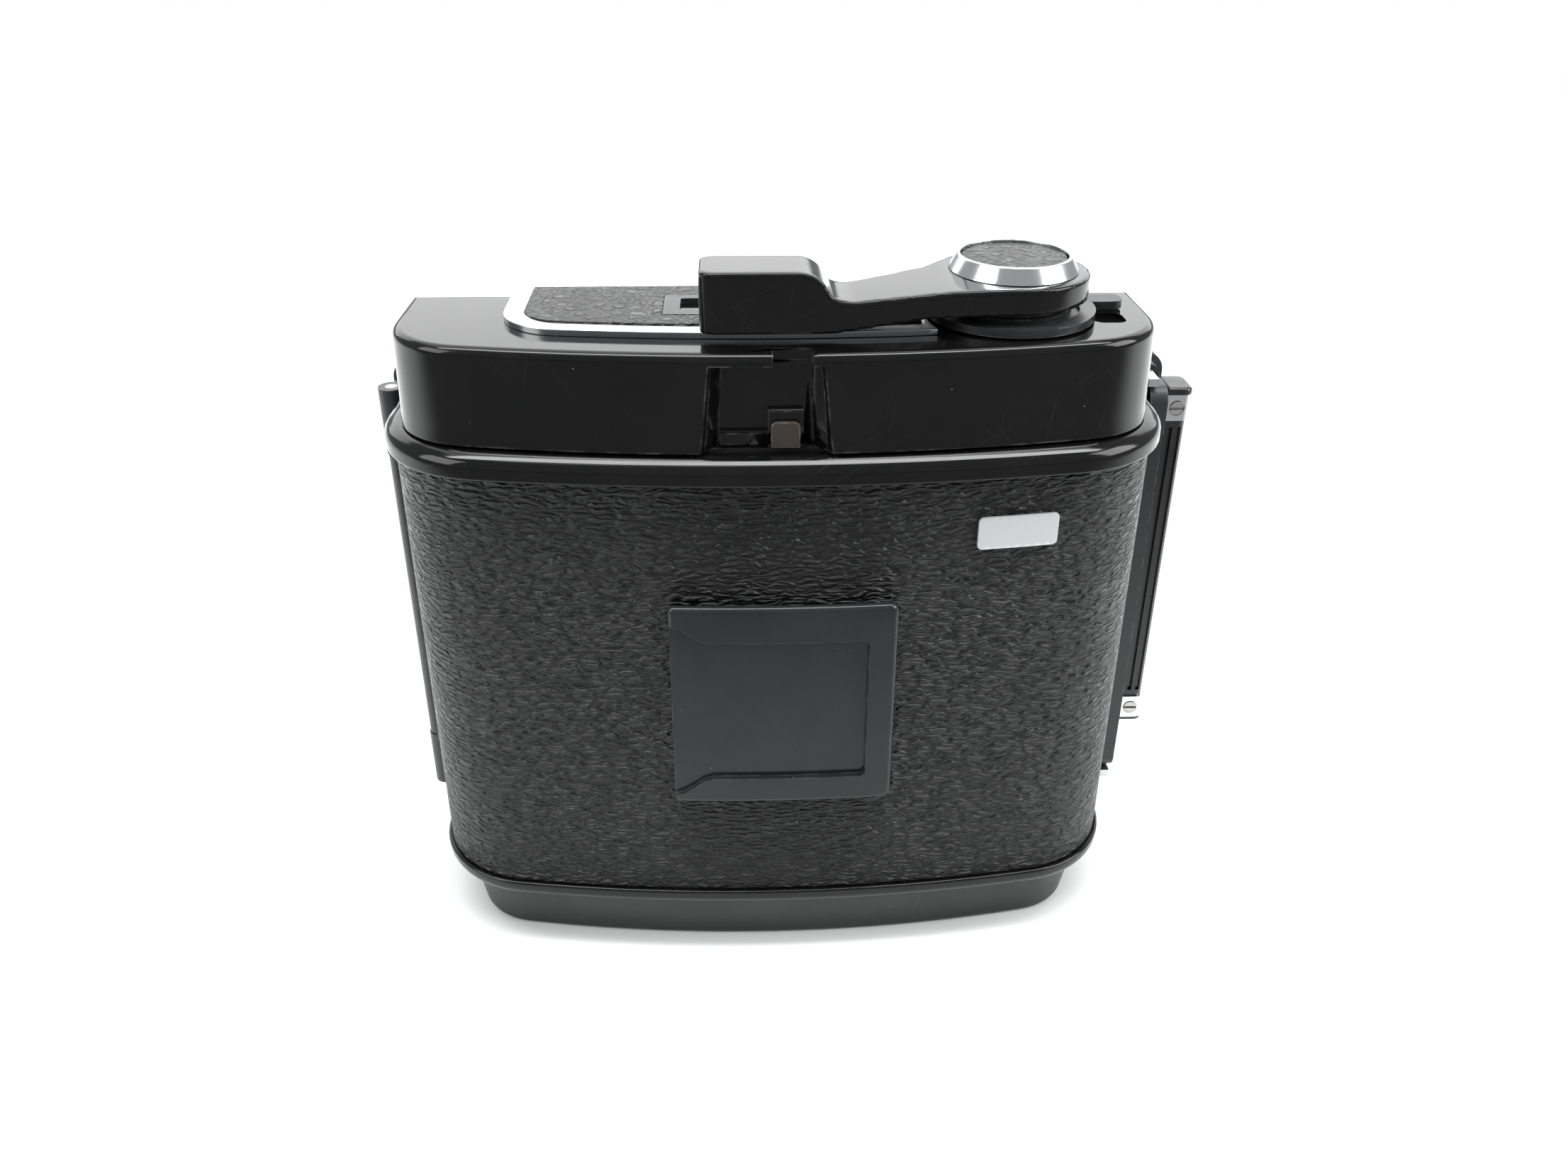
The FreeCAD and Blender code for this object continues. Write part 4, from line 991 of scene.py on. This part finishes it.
@dataclass
class TopCap:
    """The insert's upper cap with its latch recess, window and viewing slot."""

    outline: BowedOutline = BowedOutline(51.6, -15.6, 215.3, 12.3, 12.3)
    foot: float = 84.8
    top: float = 98.0
    wall: float = 1.1
    hub: tuple[float, float] = field(default_factory=hub_place)
    recess_y: float = -12.6
    window: tuple[float, float, float, float] = (-13.4, -6.4, 0.0, 5.8)

    def build(self, paint: Paintbox) -> None:
        """Make and dress every piece of the cap.

        Args:
            paint: The finishes.
        """
        finish(self.shell(), paint, "gloss_black", "magazine", "top_cap")
        finish(self.tab(), paint, "dark_steel", "latch", "latch_button")

    def shell(self) -> bpy.types.Object:
        """Draw the foot, raise it in steps to the top, hollow it and cut its openings.

        Returns:
            The finished cap.
        """
        bench = self.outline.plate("cap_shell", self.foot)
        bench.step_in(0.15, 2.0)
        bench.step_in(0.25, self.top - self.foot - 3.25)
        bench.dome(1.25, 6)
        bpy.ops.object.mode_set(mode="OBJECT")
        bench.modify("SOLIDIFY", thickness=self.wall * MM, offset=-1.0, use_even_offset=True)
        bench.trim(self.foot)
        bench.combine(self.mouth_wall(), Combine.ADD)
        bench.combine(self.mouth(), Combine.CUT)
        x0, x1, y0, y1 = self.window
        y = self.recess_y
        tab_way = ((-1.0, -18.0, 83.0), (4.1, y, 99.0))
        bolt_slot = ((-7.8, y - 1.0, self.foot + 0.6), (3.0, y + 4.0, self.foot + 2.2))
        tab_slot = ((-1.6, y - 1.0, self.foot + 0.3), (3.0, y + 0.9, self.foot + 5.2))
        light = ((x0, y0, 90.0), (x1, y1, 99.0))
        for low, high in (tab_way, bolt_slot, tab_slot, light):
            bench.combine(Bench.block("opening", low, high), Combine.CUT)
        bench.combine(self.seat(), Combine.ADD)
        bench.combine(Bench.rod("hole", (*self.hub, 90.0), 3.1, 10.0, 48), Combine.CUT)
        bench.combine(self.slot(), Combine.CUT)
        bench.rest()
        bench.round_edges(0.22, 2, 35.0)
        return bench.smooth(35.0)

    def mouth_wall(self) -> Bench:
        """Return the thick wall that the latch recess is cut into."""
        return Bench.block("mouth_wall", (-12.5, -14.0, self.foot + 0.01),
                           (9.0, self.recess_y + 2.4, self.top - 1.0))

    def mouth(self) -> Bench:
        """Draw the recess at its mouth and narrow it to its floor.

        Returns:
            The tool for the recess.
        """
        y = -16.5
        bench = Bench.pen("mouth", (-11.6, y, self.foot - 1.0))
        bench.lines([(7.9, y, self.foot - 1.0), (6.7, y, self.top - 1.6),
                     (-10.4, y, self.top - 1.6), (-11.6, y, self.foot - 1.0)])
        bench.fill()
        for depth, narrower in ((-15.8, 0.95), (-15.35, 0.93), (-14.9, 0.96), (-14.3, 0.975),
                                (self.recess_y, 0.80)):
            bench.push(0.0, depth - y, 0.0)
            bpy.ops.transform.resize(value=(narrower, 1.0, 1.0))
            y = depth
        return bench.rest()

    def seat(self) -> Bench:
        """Draw the raised seat under the leather panel.

        Returns:
            The body to add.
        """
        panel = TopPanel()
        return panel.prism("seat", panel.trim_width, self.top - 0.5, self.top + 0.5)

    def slot(self) -> Bench:
        """Make the tool for the viewing slot beside the hub."""
        x, z = self.hub[0], self.top
        bench = Bench.block("slot", (x + 11.0, -3.2, z - 0.8), (x + 15.3, 1.0, z + 1.0))
        bench.pick(Part.EDGE, lambda _at, way: abs(way.z) > 0.9)
        bench.soften(1.2, 4)
        return bench.rest()

    def tab(self) -> bpy.types.Object:
        """Make the latch's finger tab with its stem and bolt.

        Returns:
            The finished tab.
        """
        y, z = self.recess_y, self.foot + 0.3
        bench = Bench.block("latch_tab", (-1.25, y - 1.7, z), (2.6, y - 0.35, z + 3.6))
        bench.pick(Part.EDGE, lambda at, way: abs(way.y) > 0.9 and at.z > z + 2.0)
        bench.soften(0.75, 5)
        bench.rest()
        bench.combine(Bench.block("stem", (-0.9, y - 0.4, z + 0.6), (2.2, y + 3.6, z + 1.6)),
                      Combine.ADD)
        bench.combine(Bench.block("bolt", (-22.0, y + 2.8, z + 0.4), (3.4, y + 4.2, z + 1.8)),
                      Combine.ADD)
        bench.round_edges(0.2, 3, 40.0)
        return bench.smooth(40.0)


@dataclass
class TopPanel:
    """The leather panel on the cap, inside its bright trim."""

    left: float = -36.6
    right: float = 21.492
    rear: float = -8.9
    arc: float = 208.6
    corner: float = 8.5
    front: float = 11.8
    trim_width: float = 2.8
    hub: tuple[float, float] = field(default_factory=hub_place)
    foot: float = 98.0

    def build(self, paint: Paintbox) -> None:
        """Make and dress the trim and the leather.

        Args:
            paint: The finishes.
        """
        finish(self.trim(), paint, "bright_chrome", "magazine", "panel_trim")
        finish(self.leather(), paint, "panel_hide", "magazine", "panel_leather")

    def prism(self, name: str, inset: float, low: float, high: float) -> Bench:
        """Draw the panel's outline and raise it.

        Args:
            name: Name for the piece.
            inset: How far it lies inside the trim's outer edge.
            low: Its foot.
            high: Its top.

        Returns:
            The bench, with the hub's room cut away.
        """
        radius, arc = self.corner - inset, self.arc - inset
        left, centre = self.left + inset, self.rear + self.arc
        corner_x = left + radius
        corner_y = centre - math.sqrt((arc - radius) ** 2 - corner_x ** 2)
        start = math.asin(corner_x / (arc - radius))
        end = math.asin(self.right / arc)
        bench = Bench.pen(name, (left, self.front, low))
        bench.line(left, corner_y, low)
        bench.turn((corner_x, corner_y, low), 90.0 + math.degrees(start), 12)
        bench.turn((0.0, centre, low), math.degrees(end - start), 24)
        bench.line(self.right, self.front, low)
        bench.line(left, self.front, low)
        bench.fill()
        bench.push(0.0, 0.0, high - low)
        bench.rest()
        room = Bench.rod("room", (*self.hub, low - 1.0), 14.0, high - low + 2.0)
        return bench.combine(room, Combine.CUT)

    def trim(self) -> bpy.types.Object:
        """Make the bright trim with softened edges.

        Returns:
            The finished trim.
        """
        bench = self.prism("panel_strip", 0.0, self.foot, self.foot + 0.9)
        bench.combine(self.prism("inner", self.trim_width, self.foot - 1.0, self.foot + 2.0),
                      Combine.CUT)
        bench.round_edges(0.22, 3, 40.0)
        return bench.smooth(40.0)

    def leather(self) -> bpy.types.Object:
        """Make the leather with the window's frame let into it.

        Returns:
            The finished leather.
        """
        bench = self.prism("panel_skin", self.trim_width + 0.02, self.foot + 0.5, self.foot + 1.15)
        bench.combine(Bench.block("bezel_room", (-15.2, -1.8, self.foot), (-4.6, 6.8, self.foot + 3.0)),
                      Combine.CUT)
        bench.round_edges(0.2, 2, 40.0)
        return bench.smooth(40.0)


@dataclass
class BottomCap:
    """The insert's lower cap, a satin pan."""

    outline: BowedOutline = BowedOutline(50.2, -14.6, 222.0, 11.5, 12.0)
    top: float = 8.7
    draft: float = 1.38

    def build(self, paint: Paintbox) -> None:
        """Make and dress the pan."""
        finish(self.pan(), paint, "base_enamel", "magazine", "bottom_cap")

    def pan(self) -> bpy.types.Object:
        """Draw the top outline and step down to the foot.

        Returns:
            The finished pan.
        """
        bench = self.outline.plate("base_pan", self.top, up=False)
        bench.step_in(self.draft, self.top - 1.1)
        bench.dome(1.1, 5)
        bpy.ops.object.mode_set(mode="OBJECT")
        bench.modify("SOLIDIFY", thickness=0.9 * MM, offset=-1.0, use_even_offset=True)
        bench.trim(self.top, above=True)
        for x, y in ((-30.0, -1.0), (30.0, -1.0), (0.0, 6.0)):
            bench.combine(Bench.rod("sink", (x, y, -1.0), 2.4, 2.2, 32), Combine.CUT)
        bench.rest()
        return bench.smooth(35.0)


@dataclass
class WindLever:
    """The wind lever: a grip and an arm cast in one with the hub."""

    hub: tuple[float, float] = field(default_factory=hub_place)
    radius: float = 10.2
    hub_foot: float = 100.9
    hub_top: float = 104.3
    under: float = 99.5
    grip_top: float = 107.4
    grip_x: tuple[float, float] = (-10.2, 5.4)
    grip_y: tuple[float, float] = (-12.0, -3.2)

    def build(self, paint: Paintbox) -> None:
        """Make and dress the lever, its ring and its disc.

        Args:
            paint: The finishes.
        """
        finish(self.casting(), paint, "gloss_black", "wind", "wind_lever")
        finish(self.ring(), paint, "bright_chrome", "wind", "lever_ring")
        finish(self.disc(), paint, "panel_hide", "wind", "lever_disc")

    def side(self) -> Bench:
        """Draw the lever from the side, and push it through the plan.

        Returns:
            The body that gives the lever its heights.
        """
        y = -16.0
        bench = Bench.pen("side", (-14.0, y, self.under))
        bench.lines([(7.0, y, self.under), (19.0, y, self.hub_foot), (46.0, y, self.hub_foot),
                     (46.0, y, self.hub_top), (22.0, y, self.hub_top), (8.2, y, self.hub_top - 0.9),
                     (6.6, y, self.hub_top - 0.1), (5.2, y, self.grip_top - 1.0),
                     (3.4, y, self.grip_top), (-14.0, y, self.grip_top),
                     (-14.0, y, self.under)])
        bench.fill()
        for x, z, width in ((8.2, self.hub_top - 0.9, 1.5), (6.6, self.hub_top - 0.1, 0.8),
                            (5.2, self.grip_top - 1.0, 0.9), (3.4, self.grip_top, 1.1)):
            spot = Vector((x, y, z))
            bench.pick(Part.CORNER, lambda at, _n: (at - spot).length < 0.05)
            bench.blunt(width, 5)
        bench.take_faces().push(0.0, 32.0, 0.0)
        return bench.rest()

    def casting(self) -> bpy.types.Object:
        """Draw the lever from above, raise it and keep what its side view keeps.

        Returns:
            The finished lever.
        """
        hx, hy = self.hub
        (x0, x1), (y0, y1) = self.grip_x, self.grip_y
        low, high = self.under - 1.0, self.grip_top + 1.0
        leave = math.degrees(math.atan2(-10.1, -1.2))
        meet = math.degrees(math.atan2(5.4, -8.2))
        r = self.radius
        first = (hx + r * math.cos(math.radians(leave)), hy + r * math.sin(math.radians(leave)))
        bench = Bench.pen("lever_casting", (x0, y0, low))
        bench.lines([(x1, y0, low), (first[0], first[1], low)])
        bench.turn((hx, hy, low), meet - leave, 56)
        bench.lines([(20.0, 3.0, low), (14.5, 0.4, low), (11.0, -1.0, low), (8.0, -2.2, low),
                     (x1, y1, low), (x0, y1, low), (x0, y0, low)])
        bench.fill()
        bench.push(0.0, 0.0, high - low)
        bench.rest()
        bench.pick(Part.EDGE, lambda at, way: abs(way.z) > 0.9 and at.x < x0 + 0.1)
        bench.soften(1.7, 6)
        bench.rest()
        bench.combine(self.side(), Combine.KEEP)
        bench.modify("REMESH", mode="VOXEL", voxel_size=0.24 * MM)
        bench.modify("SMOOTH", factor=0.5, iterations=14)
        bench.combine(Bench.rod("bore", (hx, hy, 98.0), 3.0, 10.0, 48), Combine.CUT)
        return bench.smooth(60.0)

    def ring(self) -> bpy.types.Object:
        """Make the bright coned ring round the disc.

        Returns:
            The finished ring.
        """
        clear_bench()
        bpy.ops.mesh.primitive_cone_add(
            vertices=128, radius1=8.7 * MM, radius2=7.55 * MM, depth=2.1 * MM,
            location=metres(*self.hub, self.hub_top + 1.05))
        bench = Bench("hub_ring", bpy.context.object)
        bench.combine(Bench.rod("bore", (*self.hub, self.hub_top - 1.0), 7.14, 5.0, 128), Combine.CUT)
        bench.round_edges(0.18, 3, 30.0)
        return bench.smooth(30.0)

    def disc(self) -> bpy.types.Object:
        """Make the leather disc with a rounded rim.

        Returns:
            The finished disc.
        """
        bench = Bench.rod("hub_disc", (*self.hub, self.hub_top), 7.12, 1.7, 128)
        bench.round_edges(0.35, 4, 30.0)
        return bench.smooth(30.0)


# ---- carried-over parts -------------------------------------------------------------------
CARRIED = {
    "satin_black": ["cover_hinge_barrel", "hinge_knuckles", "hub_collar", "exposure_lever",
                    "front_frame", "window_bezel"],
    "bright_chrome": ["cover_catches", "slide_bands", "film_rails",
                      "counter_post"],
    "satin_steel": ["hinge_pin", "plate_screws", "slide_rivets", "roller_pins",
                    "guide_roller_left", "guide_roller_right", "spool_stud_takeup",
                    "spool_stud_supply", "stud_spring_takeup", "stud_spring_supply",
                    "supply_pin", "plate_springs", "return_spring", "base_screws", "latch_post"],
    "slide_steel": ["dark_slide"],
    "plate_alloy": ["mount_plate", "pressure_plate"],
    "cast_alloy": ["insert_frame", "chamber_walls"],
    "grip_plastic": ["slide_grip", "slide_end_caps"],
    "spool_plastic": ["takeup_spool"],
    "felt": ["slide_seals"],
    "brass_gear": ["wind_shaft", "takeup_drive"],
    "clear_window": ["window_glass"],
    "dial_white": ["counter_dial"],
}


def finish(piece: bpy.types.Object, paint: Paintbox, look: str, body: str, node: str) -> None:
    """Dress a piece, put it on its body and stand it for its part.

    Args:
        piece: The finished piece.
        paint: The finishes.
        look: Name of its finish.
        body: Body that it rides on.
        node: Part that it stands for.
    """
    paint.dress(piece, look)
    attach(piece, body)
    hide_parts(node)
    LOG.info("%s: %d faces, %s on %s", piece.name, len(piece.data.polygons), look, body)


# ---- studio ---------------------------------------------------------------------------------
@dataclass(frozen=True)
class Softbox:
    """A soft square lamp."""

    name: str
    place: Point
    aim: Point
    width: float
    height: float
    watts: float

    def hang(self) -> None:
        """Add the lamp, turned to what it lights."""
        clear_bench()
        bpy.ops.object.light_add(type="AREA", location=self.place)
        lamp = bpy.context.object
        lamp.name = self.name
        lamp.data.shape = "RECTANGLE"
        lamp.data.size, lamp.data.size_y = self.width, self.height
        lamp.data.energy = self.watts
        way = Vector(self.aim) - Vector(self.place)
        lamp.rotation_euler = way.to_track_quat("-Z", "Y").to_euler()


@dataclass(frozen=True)
class Studio:
    """Pale floor, soft lamps and the camera."""

    eye: Point = (-0.00617, -0.17204, 0.15184)
    yaw: float = 2.44
    pitch: float = 28.97
    roll: float = 0.30
    focal: float = 1854.7
    width: float = 2212.0
    floor_side: float = 12.0
    room_light: float = 0.42
    room_seen: float = 1.05
    lamps: tuple[Softbox, ...] = (
        Softbox("back_box", (0.0, 1.3, 0.85), (0.0, 0.0, 0.08), 3.4, 1.1, 26.0),
        Softbox("top_box", (-0.1, 0.3, 1.5), (0.0, 0.0, 0.0), 1.6, 1.6, 14.0),
        Softbox("strip_box", (0.0, -0.10, 1.35), (0.0, 0.0, 0.08), 1.8, 0.22, 18.0),
        Softbox("left_box", (-1.1, -0.5, 0.75), (0.0, 0.0, 0.06), 0.8, 0.8, 9.0),
        Softbox("right_box", (1.1, -0.3, 0.75), (0.0, 0.0, 0.06), 0.8, 0.8, 14.0),
    )

    def set_up(self) -> None:
        """Build the floor, the lamps, the surroundings and the camera."""
        self.floor()
        for lamp in self.lamps:
            lamp.hang()
        self.surroundings()
        self.camera()
        view = bpy.context.scene.view_settings
        view.view_transform = "Standard"

    def floor(self) -> None:
        """Lay the pale floor: plain to the camera, and for other rays a copy with painted shade that
        darkens towards the front.
        """
        clear_bench()
        bpy.ops.mesh.primitive_plane_add(size=self.floor_side, location=(0.0, 0.0, 0.0))
        floor = bpy.context.object
        floor.name = "floor"
        material = bpy.data.materials.new("floor_paper")
        material.use_nodes = True
        tree = Tree(material.node_tree)
        place = tree.put("TexCoord").outputs["Object"]
        cloud = tree.noise(place, 3.0, 3.0)
        colour = tree.colours(cloud, (0.78, 0.79, 0.785, 1), (0.81, 0.815, 0.81, 1))
        seen = tree.put("BsdfDiffuse", {"Color": colour})
        # Painted shade: rays other than the camera's see a dimmer copy of the floor, darkest in front.
        across = tree.put("SeparateXYZ", {0: place})
        shade = tree.spread(across.outputs[1], -0.16, 0.02)
        painted_shade_floor = tree.colours(shade, (0.17, 0.17, 0.175, 1), (0.85, 0.86, 0.86, 1))
        painted_shade_floor = tree.put("BsdfDiffuse", {"Color": painted_shade_floor})
        away = tree.put("VectorMath", {0: place}, operation="LENGTH").outputs["Value"]
        glow = tree.put("Emission", {"Color": (1.0, 1.0, 1.0, 1), "Strength": 1.0})
        seen = tree.put("MixShader", {0: tree.spread(away, 0.45, 1.1), 1: seen.outputs[0],
                                      2: glow.outputs[0]})
        path = tree.put("LightPath")
        mixed = tree.put("MixShader", {0: path.outputs["Is Camera Ray"], 1: painted_shade_floor.outputs[0],
                                       2: seen.outputs[0]})
        output = tree.put("OutputMaterial")
        tree.join(mixed.outputs[0], output.inputs[0])
        floor.data.materials.append(material)

    def surroundings(self) -> None:
        """Set the even light of the room."""
        world = bpy.data.worlds.new("room")
        bpy.context.scene.world = world
        world.use_nodes = True
        tree = Tree(world.node_tree)
        seen = tree.put("LightPath").outputs["Is Camera Ray"]
        sky = tree.put("Background", {"Color": (0.96, 0.98, 1.0, 1.0),
                                      "Strength": tree.spread(seen, 0.0, 1.0, self.room_light,
                                                              self.room_seen)})
        output = tree.put("OutputWorld")
        tree.join(sky.outputs[0], output.inputs[0])

    def camera(self) -> None:
        """Stand the camera where the views need it."""
        clear_bench()
        bpy.ops.object.camera_add(location=self.eye)
        camera = bpy.context.object
        yaw, pitch, roll = (math.radians(a) for a in (self.yaw, self.pitch, self.roll))
        ahead = Vector((math.sin(yaw) * math.cos(pitch), math.cos(yaw) * math.cos(pitch),
                        -math.sin(pitch)))
        right = Vector((math.cos(yaw), -math.sin(yaw), 0.0))
        up = right.cross(ahead)
        turned = math.cos(roll) * right + math.sin(roll) * up
        risen = -math.sin(roll) * right + math.cos(roll) * up
        camera.matrix_world = Matrix((
            (turned.x, risen.x, -ahead.x, self.eye[0]),
            (turned.y, risen.y, -ahead.y, self.eye[1]),
            (turned.z, risen.z, -ahead.z, self.eye[2]),
            (0.0, 0.0, 0.0, 1.0)))
        camera.data.sensor_width = 36.0
        camera.data.sensor_fit = "HORIZONTAL"
        camera.data.lens = self.focal / self.width * 36.0
        camera.data.clip_start = 0.01
        camera.data.clip_end = 50.0
        bpy.context.scene.camera = camera


def main() -> None:
    """Build every sub-assembly in order and set up the studio."""
    logging.basicConfig(level=logging.INFO, format="%(message)s")
    paint = Paintbox()
    for look, nodes in CARRIED.items():
        for node in nodes:
            paint.dress_node(node, look)
    for assembly in (BottomCap(), RearCover(), TopCap(), TopPanel(), WindLever()):
        assembly.build(paint)
        LOG.info("%s done", type(assembly).__name__)
    Studio().set_up()


if __name__ == "__main__":
    main()
